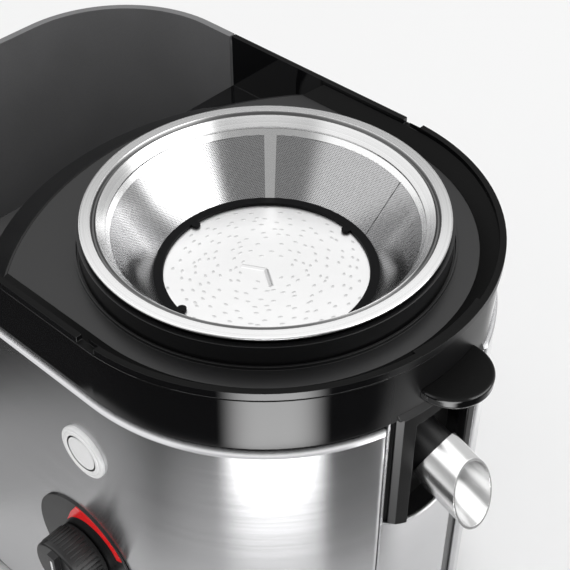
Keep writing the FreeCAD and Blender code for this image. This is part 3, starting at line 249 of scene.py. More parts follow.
class Graph:
    """Node tree that is written as expressions."""

    def __init__(self, tree):
        self.tree = tree

    def node(self, kind, settings=None, sockets=None):
        """Add a node: its settings first, then the values or links of its sockets."""
        node = self.tree.nodes.new(kind)
        for name, value in (settings or {}).items():
            setattr(node, name, value)
        for key, value in (sockets or {}).items():
            self.feed(node.inputs[key], value)
        return node

    def feed(self, socket, value):
        """Link a term to a socket, or set the socket's own value."""
        if isinstance(value, Term):
            self.tree.links.new(value.socket, socket)
        else:
            socket.default_value = value

    def term(self, node, output=0):
        return Term(self, node.outputs[output])

    def maths(self, operation, *values):
        return self.term(self.node("ShaderNodeMath", {"operation": operation}, dict(enumerate(values))))

    def vector(self, operation, *values):
        return self.term(self.node("ShaderNodeVectorMath", {"operation": operation}, dict(enumerate(values))))

    def lit(self, x, y, level, boxes):
        """Level all round with soft boxes over it, for a direction (x, y) about the motor axis."""
        far = self.reach(x, y)
        for box in boxes:
            turn = math.radians(box.direction)
            facing = (x * math.cos(turn) + y * math.sin(turn)) / far
            outside = math.cos(math.radians(box.half_width + box.edge))
            inside = math.cos(math.radians(box.half_width - box.edge))
            level = level + self.smooth(facing, outside, inside) * (box.level - level)
        return level

    def about_axis(self):
        """Object coordinates counted from the foot of the motor axis."""
        return self.vector("SUBTRACT", self.term(self.node("ShaderNodeTexCoord"), "Object"), AXIS)

    def split(self, vector):
        node = self.node("ShaderNodeSeparateXYZ", sockets={0: vector})
        return [self.term(node, axis) for axis in range(3)]

    def combined(self, x, y, z):
        return self.term(self.node("ShaderNodeCombineXYZ", sockets={0: x, 1: y, 2: z}))

    def smooth(self, value, low, high):
        """Soft step from 0 at low to 1 at high."""
        settings = {"interpolation_type": "SMOOTHSTEP"}
        return self.term(self.node("ShaderNodeMapRange", settings, {0: value, 1: low, 2: high}))

    def reach(self, x, y):
        """Distance of a point from the motor axis."""
        return self.maths("SQRT", x * x + y * y)


class Finish(Graph):
    """Material of one finish, with a Principled shader at its end."""

    def __init__(self, name, sockets):
        material = bpy.data.materials.new(name)
        material.use_nodes = True
        material.node_tree.nodes.clear()
        super().__init__(material.node_tree)
        self.material = material
        self.shader = self.node("ShaderNodeBsdfPrincipled", sockets=sockets)
        self.output = self.node("ShaderNodeOutputMaterial", sockets={0: self.term(self.shader)})
        self.place = self.about_axis()

    def noise(self, factors, detail=2.0):
        """Noise on the object's own coordinates, with a frequency for each axis."""
        sockets = {"Vector": self.vector("MULTIPLY", self.place, factors), "Scale": 1.0, "Detail": detail}
        return self.term(self.node("ShaderNodeTexNoise", sockets=sockets))

    def mixed(self, share, first, second):
        """Colour between two colours."""
        sockets = {0: share, 6: (*first, 1.0), 7: (*second, 1.0)}
        return self.term(self.node("ShaderNodeMix", {"data_type": "RGBA"}, sockets), 2)

    def paint(self, **sockets):
        """Feed the shader's sockets, with their names written with underscores."""
        for name, value in sockets.items():
            self.feed(self.shader.inputs[name.replace("_", " ")], value)

    def relief(self, height, depth, edge=0.0):
        """Bump of a height field, over edges that are rounded by a small radius."""
        sockets = {"Height": height, "Distance": depth}
        if edge:
            bevel = self.node("ShaderNodeBevel", {"samples": BEVEL_SAMPLES}, {"Radius": edge})
            sockets["Normal"] = self.term(bevel)
        self.paint(Normal=self.term(self.node("ShaderNodeBump", sockets=sockets)))

    def overlay(self, mask, sockets):
        """Second shader over the first where the mask is 1."""
        second = self.term(self.node("ShaderNodeBsdfPrincipled", sockets=sockets))
        both = self.node("ShaderNodeMixShader", sockets={0: mask, 1: self.term(self.shader), 2: second})
        self.feed(self.output.inputs[0], self.term(both))


class Recipe(Graph):
    """Geometry node tree with named inputs."""

    def __init__(self, name):
        super().__init__(bpy.data.node_groups.new(name, "GeometryNodeTree"))
        self.tree.interface.new_socket("Geometry", in_out="OUTPUT", socket_type="NodeSocketGeometry")
        self.entry = self.node("NodeGroupInput")
        self.values = {}

    def given(self, name, value, kind="NodeSocketFloat"):
        """Named input with the value that the piece gives it."""
        item = self.tree.interface.new_socket(name, in_out="INPUT", socket_type=kind)
        self.values[item.identifier] = value
        return self.term(self.entry, name)

    def position(self):
        return self.term(self.node("GeometryNodeInputPosition"))

    def moved(self, geometry, place):
        """Geometry with its points put at a place."""
        sockets = {"Geometry": geometry, "Position": place}
        return self.term(self.node("GeometryNodeSetPosition", sockets=sockets))

    def instances(self, points, shape, turn, size=(1.0, 1.0, 1.0)):
        """The shape at each of the points, as real geometry."""
        sockets = {"Points": points, "Instance": shape, "Rotation": turn, "Scale": size}
        spread = self.term(self.node("GeometryNodeInstanceOnPoints", sockets=sockets))
        return self.term(self.node("GeometryNodeRealizeInstances", sockets={"Geometry": spread}))

    def piece(self, geometry, name, material):
        """End the tree, run it once and return its result as a plain object."""
        finish = self.given("Material", material, "NodeSocketMaterial")
        sockets = {"Geometry": geometry, "Shade Smooth": True}
        smooth = self.term(self.node("GeometryNodeSetShadeSmooth", sockets=sockets))
        real = self.term(self.node("GeometryNodeRealizeInstances", sockets={"Geometry": smooth}))
        sockets = {"Geometry": real, "Material": finish}
        painted = self.term(self.node("GeometryNodeSetMaterial", sockets=sockets))
        self.node("NodeGroupOutput", sockets={0: painted})
        maker = new_object(name + "_maker", bpy.data.meshes.new(name + "_maker"))
        modifier = maker.modifiers.new("Recipe", "NODES")
        modifier.node_group = self.tree
        for identifier, value in self.values.items():
            modifier[identifier] = value
        graph = bpy.context.evaluated_depsgraph_get()
        mesh = bpy.data.meshes.new_from_object(maker.evaluated_get(graph))
        maker.modifiers.clear()
        bpy.data.objects.remove(maker)
        if not mesh.polygons:
            raise RuntimeError(name + " has no faces")
        return new_object(name, mesh)


# Meshes
def new_object(name, mesh):
    """Object at the origin with this mesh."""
    mesh.name = name
    made = bpy.data.objects.new(name, mesh)
    bpy.context.scene.collection.objects.link(made)
    return made


def from_bmesh(name, shape, material):
    """Object from a bmesh, with smooth faces and one material."""
    mesh = bpy.data.meshes.new(name)
    bmesh.ops.remove_doubles(shape, verts=shape.verts, dist=WELD_DISTANCE)
    bmesh.ops.recalc_face_normals(shape, faces=shape.faces)
    for face in shape.faces:
        face.smooth = True
    shape.to_mesh(mesh)
    shape.free()
    mesh.materials.append(material)
    return new_object(name, mesh)


def lathe(profile, steps, place):
    """Turned shape from (radius, height) points, about an axis that points to the front."""
    shape = bmesh.new()
    corners = [shape.verts.new((radius, -height, 0.0)) for radius, height in profile]
    edges = [shape.edges.new(pair) for pair in zip(corners, corners[1:])]
    bmesh.ops.spin(
        shape, geom=corners + edges, cent=(0, 0, 0), axis=(0, 1, 0), angle=2.0 * math.pi, steps=steps,
        use_duplicate=False)
    bmesh.ops.translate(shape, verts=shape.verts, vec=place)
    return shape


def give(piece, body):
    """Piece that moves with a body."""
    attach(piece, body)
    return piece


def middle(node):
    """Middle of a node's box."""
    low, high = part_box(node)
    return (low + high) / 2.0


# Finishes
def steel_sockets(**extra):
    """Constant sockets of a bare steel."""
    return {"Metallic": 1.0, **{name.replace("_", " "): value for name, value in extra.items()}}


def shade(tone, factor):
    """Colour made darker or lighter."""
    return tuple(min(1.0, value * factor) for value in tone)


def brushed_panel(finishes):
    """Steel sheet with level brush lines that draw highlights out upwards, and a rolled upper edge."""
    steel = Finish("brushed_panel", steel_sockets(Anisotropic=0.85, Anisotropic_Rotation=0.25))
    _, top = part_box("front_steel_panel")
    _, _, z = steel.split(steel.place)
    lines = steel.noise((18.0, 18.0, 2400.0), 3.0)
    bands = steel.noise((5.0, 5.0, 220.0))
    tone = lines * 0.65 + bands * 0.35
    lean = steel.maths("MAXIMUM", z - (top.z - ROLL_HEIGHT), 0.0) * ROLL_SLOPE
    steel.paint(
        Base_Color=steel.mixed(tone, shade(finishes.panel, 0.86), shade(finishes.panel, 1.12)),
        Roughness=tone * 0.08 + 0.16)
    steel.relief(lines * 0.008 * MM - lean, depth=1.0, edge=2.0 * MM)
    return steel.material


def spun_steel(finishes):
    """Steel turned on a lathe, with fine rings about the motor axis and painted shade darkening its groove.
    """
    steel = Finish("bright_steel", steel_sockets(Anisotropic=0.5, Anisotropic_Rotation=0.25))
    x, y, z = steel.split(steel.place)
    radius = steel.reach(x, y)
    # Mask of the rim's groove: its colour is darkened there as painted shade, and it is made rougher
    groove = steel.smooth(radius, GROOVE_IN, GROOVE_IN + GROOVE_EDGE)
    groove = groove * (1.0 - steel.smooth(radius, GROOVE_OUT - GROOVE_EDGE, GROOVE_OUT))
    sockets = {"Vector": steel.combined(radius * 2600.0, z * 900.0, 0.0), "Scale": 1.0, "Detail": 3.0}
    rings = steel.term(steel.node("ShaderNodeTexNoise", sockets=sockets))
    clouds = steel.noise((40.0, 40.0, 40.0))
    steel.paint(
        Base_Color=steel.mixed((rings * 0.3 + 0.7) * (1.0 - groove * 0.75), (0.0, 0.0, 0.0), finishes.bright),
        Roughness=rings * 0.07 + clouds * 0.05 + groove * 0.15 + 0.15)
    steel.relief(rings, depth=0.006 * MM, edge=0.25 * MM)
    return steel.material


def drawn_tube(finishes):
    """Polished tube of the spout with faint draw lines along it."""
    steel = Finish("tube_steel", steel_sockets())
    lines = steel.noise((70.0, 2200.0, 900.0), 3.0)
    clouds = steel.noise((60.0, 60.0, 60.0))
    steel.paint(
        Base_Color=steel.mixed(lines, shade(finishes.bright, 0.95), shade(finishes.bright, 1.08)),
        Roughness=lines * 0.06 + clouds * 0.06 + 0.16)
    steel.relief(lines, depth=0.004 * MM, edge=0.25 * MM)
    return steel.material


def sieve_azimuth(steel):
    """Angle about the motor axis, for the lines that run down the cone."""
    x, y, _ = steel.split(steel.place)
    return steel.maths("ARCTAN2", y, x)


def perforated_steel(finishes, sizes):
    """Sheet between the holes, with the thin joint line where its ends meet."""
    steel = Finish("sieve_sheet", steel_sockets(Anisotropic=0.4, Anisotropic_Rotation=0.25))
    fine = steel.noise((900.0, 900.0, 900.0))
    clouds = steel.noise((45.0, 45.0, 45.0))
    line_width = math.radians(0.35)
    off_line = steel.maths("ABSOLUTE", sieve_azimuth(steel) - sizes.joint_at)
    line = steel.smooth(off_line, line_width * 0.4, line_width)
    steel.paint(
        Base_Color=steel.mixed(line * (fine * 0.25 + 0.75), (0.05, 0.05, 0.05), shade(finishes.sieve, 1.1)),
        Roughness=fine * 0.06 + clouds * 0.06 + 0.12)
    steel.relief(fine, depth=0.004 * MM)
    return steel.material


def sieve_backing(finishes, sizes):
    """Wall seen through the holes, painted near-black as the shade behind the sheet, and the bright strips
    along the seam and under the rim.
    """
    steel = Finish("sieve_backing", steel_sockets())
    _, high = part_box("sieve_mesh")
    _, _, z = steel.split(steel.place)
    lines = steel.noise((500.0, 500.0, 60.0))
    around = sieve_azimuth(steel)
    edge = math.radians(0.1)
    strip = steel.smooth(around, sizes.seam_from - edge, sizes.seam_from)
    strip = strip * (1.0 - steel.smooth(around, sizes.seam_to, sizes.seam_to + edge))
    border = steel.smooth(z, high.z - sizes.border - MASK_EDGE, high.z - sizes.border)
    plain = steel.maths("MAXIMUM", strip, border)
    # Near-black painted shade where the holes show this wall; plain bright steel on the seam strip and the
    # top border
    steel.paint(
        Base_Color=steel.mixed(plain, (0.05, 0.05, 0.05), shade(finishes.bright, 1.05)),
        Roughness=lines * 0.08 + 0.16)
    steel.relief(lines, depth=0.004 * MM)
    return steel.material


def pressed_disc(name, tone, roughness, sheet):
    """Bright steel of the grating disc with faint turning marks, and painted shade that makes it darker where
    it rises above the sheet.
    """
    steel = Finish(name, steel_sockets())
    x, y, z = steel.split(steel.place)
    rings = steel.combined(steel.reach(x, y) * 1500.0, 0.0, 0.0)
    rings = steel.term(steel.node("ShaderNodeTexNoise", sockets={"Vector": rings, "Scale": 1.0}))
    clouds = steel.noise((90.0, 90.0, 90.0))
    # Painted shade: teeth and blades that rise above the sheet are coloured darker, so they read as grey
    # marks
    raised = steel.smooth(z, disc_low.z + sheet, disc_low.z + sheet + RAISED_SHADE_EDGE)
    steel.paint(
        Base_Color=steel.mixed(clouds * 0.1 + raised * 0.9, tone, shade(tone, 0.72)),
        Roughness=rings * 0.06 + clouds * 0.08 + roughness)
    steel.relief(rings, depth=0.004 * MM, edge=0.2 * MM)
    return steel.material


def polished_plastic(name, tone, roughness, edge=EDGE, satin=None):
    """Glossy moulding with faint flow marks and thin smears, and satin where it is given."""
    plastic = Finish(name, {"Specular IOR Level": 0.5, "IOR": 1.5})
    flow = plastic.noise((60.0, 60.0, 60.0))
    dust = plastic.noise((1300.0, 1300.0, 1300.0))
    smears = plastic.smooth(plastic.noise((24.0, 24.0, 36.0), 4.0), 0.45, 0.75)
    haze = smears * 0.03 + dust * 0.02 + roughness
    if satin:
        haze = haze + satin(plastic) * 0.3
    plastic.paint(
        Base_Color=plastic.mixed(flow * 0.7 + dust * 0.3, shade(tone, 0.8), shade(tone, 1.25)),
        Roughness=haze)
    plastic.relief(flow * 0.85 + dust * 0.15, depth=0.012 * MM, edge=edge)
    return plastic


def above_spout(plastic):
    """1 on the stretch of the collar that looks towards the spout."""
    x, _, _ = plastic.split(plastic.place)
    return plastic.smooth(x, SATIN_FROM, SATIN_TO)


def facing(plastic):
    """The three parts of the face's own direction."""
    return plastic.split(plastic.term(plastic.node("ShaderNodeNewGeometry"), "True Normal"))


def etched(plastic, mask):
    """Dull, finely etched black over a polished moulding."""
    grain = plastic.noise((1500.0, 1500.0, 1500.0))
    plastic.overlay(mask, {
        "Base Color": plastic.mixed(grain, (0.003, 0.003, 0.003), (0.006, 0.006, 0.006)),
        "Roughness": grain * 0.1 + 0.45, "Specular IOR Level": 0.08,
    })
    return plastic.material


def collar_plastic(finishes):
    """Polished collar with an etched lip and slope, and an etched front round the spout."""
    plastic = polished_plastic("black_gloss", finishes.gloss, 0.035, satin=above_spout)
    _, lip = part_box("top_collar")
    _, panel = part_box("front_steel_panel")
    _, _, z = plastic.split(plastic.place)
    outwards, _, upwards = facing(plastic)
    slope_end = lip.z - ETCHED_DROP
    top = plastic.smooth(upwards, 0.55, 0.7) * plastic.smooth(z, slope_end - MASK_EDGE, slope_end + MASK_EDGE)
    front = plastic.smooth(outwards, 0.7, 0.8) * (1.0 - plastic.smooth(z, panel.z - FRONT_EDGE, panel.z))
    return etched(plastic, plastic.maths("MAXIMUM", top, front))


def tab_plastic(finishes):
    """Polished tab with an etched top."""
    plastic = polished_plastic("tab_black", finishes.gloss, 0.07, edge=0.5 * MM)
    _, _, upwards = facing(plastic)
    return etched(plastic, plastic.smooth(upwards, 0.55, 0.85))


def grained_plastic(name, tone, roughness, grain, depth, edge=EDGE, specular=0.5):
    """Satin moulding with the fine grain of an etched mould."""
    plastic = Finish(name, {"IOR": 1.5, "Specular IOR Level": specular})
    fine = plastic.noise((grain, grain, grain))
    clouds = plastic.noise((30.0, 30.0, 30.0), 4.0)
    plastic.paint(
        Base_Color=plastic.mixed(fine * 0.5 + clouds * 0.5, shade(tone, 0.75), shade(tone, 1.3)),
        Roughness=clouds * 0.10 + fine * 0.08 + roughness)
    plastic.relief(fine, depth, edge)
    return plastic.material


def plain_metal(name, tone, roughness, frequencies):
    """Machined or cast metal with marks at one frequency for each axis."""
    metal = Finish(name, steel_sockets())
    marks = metal.noise(frequencies, 3.0)
    clouds = metal.noise((70.0, 70.0, 70.0))
    metal.paint(
        Base_Color=metal.mixed(marks * 0.6 + clouds * 0.4, shade(tone, 0.85), shade(tone, 1.12)),
        Roughness=marks * 0.12 + clouds * 0.08 + roughness)
    metal.relief(marks, depth=0.02 * MM, edge=0.2 * MM)
    return metal.material


def wound_copper():
    """Enamelled wire laid round the coils."""
    metal = Finish("copper", steel_sockets())
    x, y, z = metal.split(metal.place)
    wires = metal.maths("SINE", (metal.reach(x, y) + z * 0.35) * 9000.0)
    clouds = metal.noise((120.0, 120.0, 120.0))
    metal.paint(
        Base_Color=metal.mixed(wires * 0.3 + clouds * 0.7, (0.36, 0.12, 0.05), (0.72, 0.34, 0.16)),
        Roughness=clouds * 0.12 + 0.22)
    metal.relief(wires, depth=0.12 * MM)
    return metal.material


def stacked_sheets():
    """Edges of the stacked electrical steel."""
    metal = Finish("core_steel", steel_sockets())
    _, _, z = metal.split(metal.place)
    sheets = metal.maths("SINE", z * 9000.0)
    rust = metal.noise((160.0, 160.0, 30.0), 4.0)
    metal.paint(
        Base_Color=metal.mixed(rust * 0.6 + sheets * 0.2, (0.14, 0.13, 0.13), (0.34, 0.33, 0.34)),
        Roughness=rust * 0.2 + 0.35)
    metal.relief(sheets, depth=0.05 * MM)
    return metal.material


def board_laminate():
    """Solder mask with faint tracks."""
    board = Finish("board_green", {})
    x, y, _ = board.split(board.place)
    tracks = board.smooth(board.maths("SINE", x * 1500.0) * board.maths("SINE", y * 900.0), 0.1, 0.3)
    clouds = board.noise((200.0, 200.0, 200.0))
    board.paint(
        Base_Color=board.mixed(tracks * 0.6 + clouds * 0.3, (0.01, 0.10, 0.04), (0.05, 0.26, 0.11)),
        Roughness=clouds * 0.1 + 0.3)
    board.relief(tracks, depth=0.03 * MM)
    return board.material


def slot_finishes(finishes, sieve, grater):
    """Material for each slot of the record."""
    return {
        "black_gloss": collar_plastic(finishes),
        "black_satin": grained_plastic("black_satin", finishes.satin, 0.26, 2600.0, 0.012 * MM),
        "black_plain": grained_plastic("black_plain", finishes.plain, 0.42, 1900.0, 0.03 * MM),
        "brushed_panel": brushed_panel(finishes),
        "bright_steel": spun_steel(finishes),
        "sieve_steel": sieve_backing(finishes, sieve),
        "grater_steel": pressed_disc("grater_steel", finishes.disc, 0.30, grater.sheet),
        "rubber": grained_plastic("rubber", (0.016, 0.016, 0.016), 0.62, 1500.0, 0.05 * MM),
        "zinc": plain_metal("zinc", (0.62, 0.63, 0.66), 0.24, (1200.0, 1200.0, 1200.0)),
        "shaft_steel": plain_metal("shaft_steel", (0.52, 0.52, 0.53), 0.18, (60.0, 60.0, 2600.0)),
        "aluminium": plain_metal("aluminium", (0.60, 0.60, 0.62), 0.40, (700.0, 700.0, 700.0)),
        "core_steel": stacked_sheets(),
        "copper": wound_copper(),
        "bronze": plain_metal("bronze", (0.46, 0.30, 0.13), 0.36, (1500.0, 1500.0, 1500.0)),
        "carbon": grained_plastic("carbon", (0.03, 0.03, 0.032), 0.5, 2200.0, 0.03 * MM, edge=0.0),
        "coupling_plastic": grained_plastic("coupling_plastic", (0.05, 0.05, 0.05), 0.45, 900.0, 0.03 * MM),
        "board_green": board_laminate(),
        "capacitor_yellow": grained_plastic("capacitor_yellow", (0.62, 0.44, 0.06), 0.3, 800.0, 0.02 * MM),
        "white_gloss": polished_plastic("white_gloss", finishes.white, 0.12).material,
        "red_print": polished_plastic("red_print", finishes.red, 0.16, edge=0.1 * MM).material,
        "smoke_plastic": grained_plastic("smoke_plastic", finishes.smoke, 0.24, 1800.0, 0.01 * MM),
    }


def finish(name):
    """Finish that was made for the solids."""
    return bpy.data.materials[name]


# Operators
class JUICER_OT_finishes(bpy.types.Operator):
    """Give every solid of the frame the finish of its slot"""

    bl_idname = "juicer.finishes"
    bl_label = "Finishes"

    def execute(self, context):
        scene = context.scene
        finishes = scene.juicer_finishes
        made = slot_finishes(finishes, scene.juicer_sieve, scene.juicer_grater)
        own = {
            "spout_sleeve": drawn_tube(finishes),
            "sieve_hub": grained_plastic("hub_black", finishes.gloss, 0.4, 1500.0, 0.01 * MM, specular=0.08),
            "lift_tab": tab_plastic(finishes),
        }
        for row in frame["record"]["subparts"]:
            solid = frame["nodes"][row["node"]]
            solid.data.materials.clear()
            solid.data.materials.append(own.get(row["node"], made[row["material_slot"]]))
        return {"FINISHED"}


class JUICER_OT_sieve_sheets(bpy.types.Operator):
    """Lay a sheet with a hexagonal field of holes inside the sieve's cone, in two halves"""

    bl_idname = "juicer.sieve_sheets"
    bl_label = "Sieve sheets"

    def execute(self, context):
        sizes = context.scene.juicer_sieve
        steel = perforated_steel(context.scene.juicer_finishes, sizes)
        for name, side in (("sieve_sheet_right", 1.0), ("sieve_sheet_left", -1.0)):
            give(self.sheet(name, sizes, side, steel), "sieve")
        return {"FINISHED"}

    def sheet(self, name, sizes, side, steel):
        """The cone's flat pattern filled with hexagonal cells, then rolled up to the cone."""
        low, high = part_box("sieve_mesh")
        recipe = Recipe(name)
        pitch = recipe.given("Pitch", sizes.pitch)
        hole = recipe.given("Hole Radius", sizes.hole)
        dimple = recipe.given("Dimple", sizes.dimple)
        tuck = recipe.given("Tuck", sizes.tuck)
        border = recipe.given("Border", sizes.border)
        top_radius = recipe.given("Top Radius", sizes.top_radius)
        bottom_radius = recipe.given("Bottom Radius", sizes.bottom_radius)
        bottom = recipe.given("Bottom", low.z)
        drop = recipe.given("Height", high.z - low.z)
        run = top_radius - bottom_radius
        slant = recipe.reach(run, drop)
        sine = run / slant
        cosine = drop / slant
        clear = recipe.given("Stand-off", sizes.stand_off)
        reach = top_radius / sine - border / cosine
        columns = recipe.maths("ROUND", 2.0 * reach / pitch)
        rows = recipe.maths("ROUND", 2.0 * reach / (pitch * HEX_ROW))

        # Points of a hexagonal field, with every second row moved by half a pitch
        grid = recipe.node("GeometryNodeMeshGrid", sockets={
            "Size X": 2.0 * reach, "Size Y": 2.0 * reach,
            "Vertices X": columns + 1.0, "Vertices Y": rows + 1.0})
        points = recipe.term(recipe.node("GeometryNodeMeshToPoints", sockets={"Mesh": recipe.term(grid)}))
        x, y, _ = recipe.split(recipe.position())
        row = recipe.maths("ROUND", (y + reach) * rows / (2.0 * reach))
        shift = recipe.maths("MODULO", row, 2.0) * reach / columns
        points = recipe.moved(points, recipe.combined(x + shift, y, 0.0))

        # Only the points on this half of the cone's flat pattern
        x, y, _ = recipe.split(recipe.position())
        far = recipe.reach(x, y)
        turn = recipe.maths("ARCTAN2", y, x)
        inside = recipe.maths("GREATER_THAN", far, bottom_radius / sine - tuck)
        inside = inside * recipe.maths("LESS_THAN", far, reach)
        inside = inside * recipe.maths("LESS_THAN", recipe.maths("ABSOLUTE", turn), sine * math.pi)
        inside = inside * recipe.maths("GREATER_THAN", turn * side, 0.0)
        sockets = {"Geometry": points, "Selection": 1.0 - inside}
        points = recipe.term(recipe.node("GeometryNodeDeleteGeometry", {"domain": "POINT"}, sockets))

        # A six-sided cell with a hole at each point, then all of them rolled up about the motor axis
        cell = recipe.node("GeometryNodeMeshCone", {"fill_type": "NONE"}, {
            "Vertices": 6, "Radius Top": pitch / math.sqrt(3.0), "Radius Bottom": hole, "Depth": dimple})
        cells = recipe.instances(points, recipe.term(cell), (0.0, 0.0, math.radians(30.0)))

        x, y, rise = recipe.split(recipe.position())
        radius = recipe.reach(x, y) * sine
        seam = (sizes.seam_from + sizes.seam_to) / 2.0
        around = recipe.maths("ARCTAN2", y, x) / sine + (seam + math.pi)
        stand = rise + clear
        level = radius - cosine * stand
        height = bottom + (radius - bottom_radius) * drop / run + sine * stand
        across = recipe.maths("COSINE", around) * level
        along = recipe.maths("SINE", around) * level
        cells = recipe.moved(cells, recipe.combined(across + AXIS.x, along + AXIS.y, height))
        made = recipe.piece(cells, name, steel)
        made.data.flip_normals()
        return made


class JUICER_OT_grater_teeth(bpy.types.Operator):
    """Spread small raised teeth over the grating disc"""

    bl_idname = "juicer.grater_teeth"
    bl_label = "Grater teeth"

    def execute(self, context):
        sizes = context.scene.juicer_grater
        low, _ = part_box("grater_disc")
        recipe = Recipe("grater_teeth")
        count = recipe.given("Count", sizes.count, "NodeSocketInt")
        seed = recipe.given("Seed", sizes.seed, "NodeSocketInt")
        inner = recipe.given("Inner Radius", sizes.inner)
        outer = recipe.given("Outer Radius", sizes.outer)
        radius = recipe.given("Tooth Radius", sizes.radius)
        height = recipe.given("Tooth Height", sizes.height)
        scatter = recipe.given("Scatter", sizes.scatter)
        level = recipe.given("Level", low.z + sizes.sheet - sizes.sink)

        def chance(step):
            """Random number between -1 and 1 for each tooth."""
            sockets = {2: -1.0, 3: 1.0, "Seed": seed + step}
            return recipe.term(recipe.node("FunctionNodeRandomValue", {"data_type": "FLOAT"}, sockets), 1)

        line = recipe.node("GeometryNodeMeshLine", sockets={"Count": count})
        points = recipe.term(recipe.node("GeometryNodeMeshToPoints", sockets={"Mesh": recipe.term(line)}))
        index = recipe.term(recipe.node("GeometryNodeInputIndex"))
        share = (index + 0.5) / count
        spread = recipe.maths("SQRT", inner * inner + (outer * outer - inner * inner) * share)
        around = index * GOLDEN_ANGLE
        x = recipe.maths("COSINE", around) * spread + chance(1.0) * scatter
        y = recipe.maths("SINE", around) * spread + chance(2.0) * scatter
        points = recipe.moved(points, recipe.combined(x + AXIS.x, y + AXIS.y, level))
        cone = recipe.node("GeometryNodeMeshCone", {"fill_type": "NGON"}, {
            "Vertices": TOOTH_SIDES, "Radius Top": 0.0, "Radius Bottom": radius, "Depth": height})
        foot = recipe.term(cone, "Bottom")
        sharp = {"Geometry": recipe.term(cone), "Selection": foot, "Shade Smooth": False}
        tooth = recipe.term(recipe.node("GeometryNodeSetShadeSmooth", {"domain": "EDGE"}, sharp))
        turn = recipe.combined(0.0, 0.0, around)
        teeth = recipe.instances(points, tooth, turn, TOOTH_STRETCH)
        # Teeth take a darker copy of the disc's steel: painted shade that makes them read as soft grey spots
        tone = shade(context.scene.juicer_finishes.disc, 0.84)
        steel = pressed_disc("tooth_steel", tone, 0.40, sizes.sheet)
        give(recipe.piece(teeth, "grater_teeth", steel), "sieve")
        return {"FINISHED"}


class JUICER_OT_knob_details(bpy.types.Operator):
    """Add the grip ribs and the pointer to the dial's knob"""

    bl_idname = "juicer.knob_details"
    bl_label = "Knob details"

    def execute(self, context):
        sizes = context.scene.juicer_dial
        low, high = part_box("dial_knob")
        centre = middle("dial_knob")
        give(self.grip(sizes, centre, high.y), "dial")
        give(self.pointer(sizes, centre, low.y), "dial")
        return {"FINISHED"}

    def grip(self, sizes, centre, back):
        """Ring of ribs round the knob."""
        recipe = Recipe("knob_grip")
        count = recipe.given("Ribs", sizes.ribs, "NodeSocketInt")
        radius = recipe.given("Knob Radius", sizes.knob_radius)
        rib = recipe.given("Rib Radius", sizes.rib_radius)
        depth = recipe.given("Rib Length", sizes.rib_length)
        circle = recipe.node("GeometryNodeMeshCircle", sockets={"Vertices": count, "Radius": radius})
        points = recipe.term(recipe.node("GeometryNodeMeshToPoints", sockets={"Mesh": recipe.term(circle)}))
        rod = recipe.node("GeometryNodeMeshCone", {"fill_type": "NGON"}, {
            "Vertices": RIB_SIDES, "Radius Top": rib * RIB_TAPER, "Radius Bottom": rib, "Depth": depth})
        ribs = recipe.instances(points, recipe.term(rod), (0.0, 0.0, 0.0))
        x, y, rise = recipe.split(recipe.position())
        start = back - sizes.rib_start
        ribs = recipe.moved(ribs, recipe.combined(x + centre.x, start - rise, y + centre.z))
        return recipe.piece(ribs, "knob_grip", finish("black_satin"))

    def pointer(self, sizes, centre, front):
        """Raised line on the knob's face."""
        line = bmesh.new()
        bmesh.ops.create_cube(line, size=1.0)
        size = (sizes.pointer_width, sizes.pointer_thickness, sizes.pointer_length)
        bmesh.ops.scale(line, verts=line.verts, vec=size)
        place = (centre.x, front, centre.z + sizes.knob_radius / 2.0)
        bmesh.ops.translate(line, verts=line.verts, vec=place)
        bmesh.ops.bevel(line, geom=line.edges[:], offset=sizes.pointer_bevel, segments=2, affect="EDGES")
        return from_bmesh("knob_pointer", line, finish("white_gloss"))


class JUICER_OT_badge_cap(bpy.types.Operator):
    """Turn the bare domed cap of the badge"""

    bl_idname = "juicer.badge_cap"
    bl_label = "Badge cap"

    def execute(self, context):
        sizes = context.scene.juicer_badge
        low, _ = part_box("badge_disc")
        centre = middle("badge_disc")
        foot = -0.3 * MM
        steps = 8
        sides = 64
        profile = []
        for step in range(steps + 1):
            share = step / steps
            profile.append((sizes.dome_radius * share, sizes.dome_height * (1.0 - share * share)))
        profile.append((sizes.ring_inner, 0.0))
        width = sizes.ring_outer - sizes.ring_inner
        for step in range(1, steps + 1):
            bend = math.pi * step / steps
            across = (sizes.ring_inner + sizes.ring_outer - width * math.cos(bend)) / 2.0
            profile.append((across, sizes.ring_height * math.sin(bend)))
        profile += [(sizes.ring_outer, foot), (0.0, foot)]
        cap = lathe(profile, sides, (centre.x, low.y, centre.z))
        give(from_bmesh("badge_cap", cap, finish("white_gloss")), "base")
        return {"FINISHED"}


def flat_ring(name, inner, outer, height, material):
    """Flat ring about the motor axis."""
    steps = 96
    shape = bmesh.new()
    rows = []
    for step in range(steps):
        turn = 2.0 * math.pi * step / steps
        across, along = math.cos(turn), math.sin(turn)
        rows.append([shape.verts.new((radius * across, radius * along, height)) for radius in (inner, outer)])
    for here, there in zip(rows, rows[1:] + rows[:1]):
        shape.faces.new((here[0], here[1], there[1], there[0]))
    bmesh.ops.translate(shape, verts=shape.verts, vec=AXIS)
    return from_bmesh(name, shape, material)


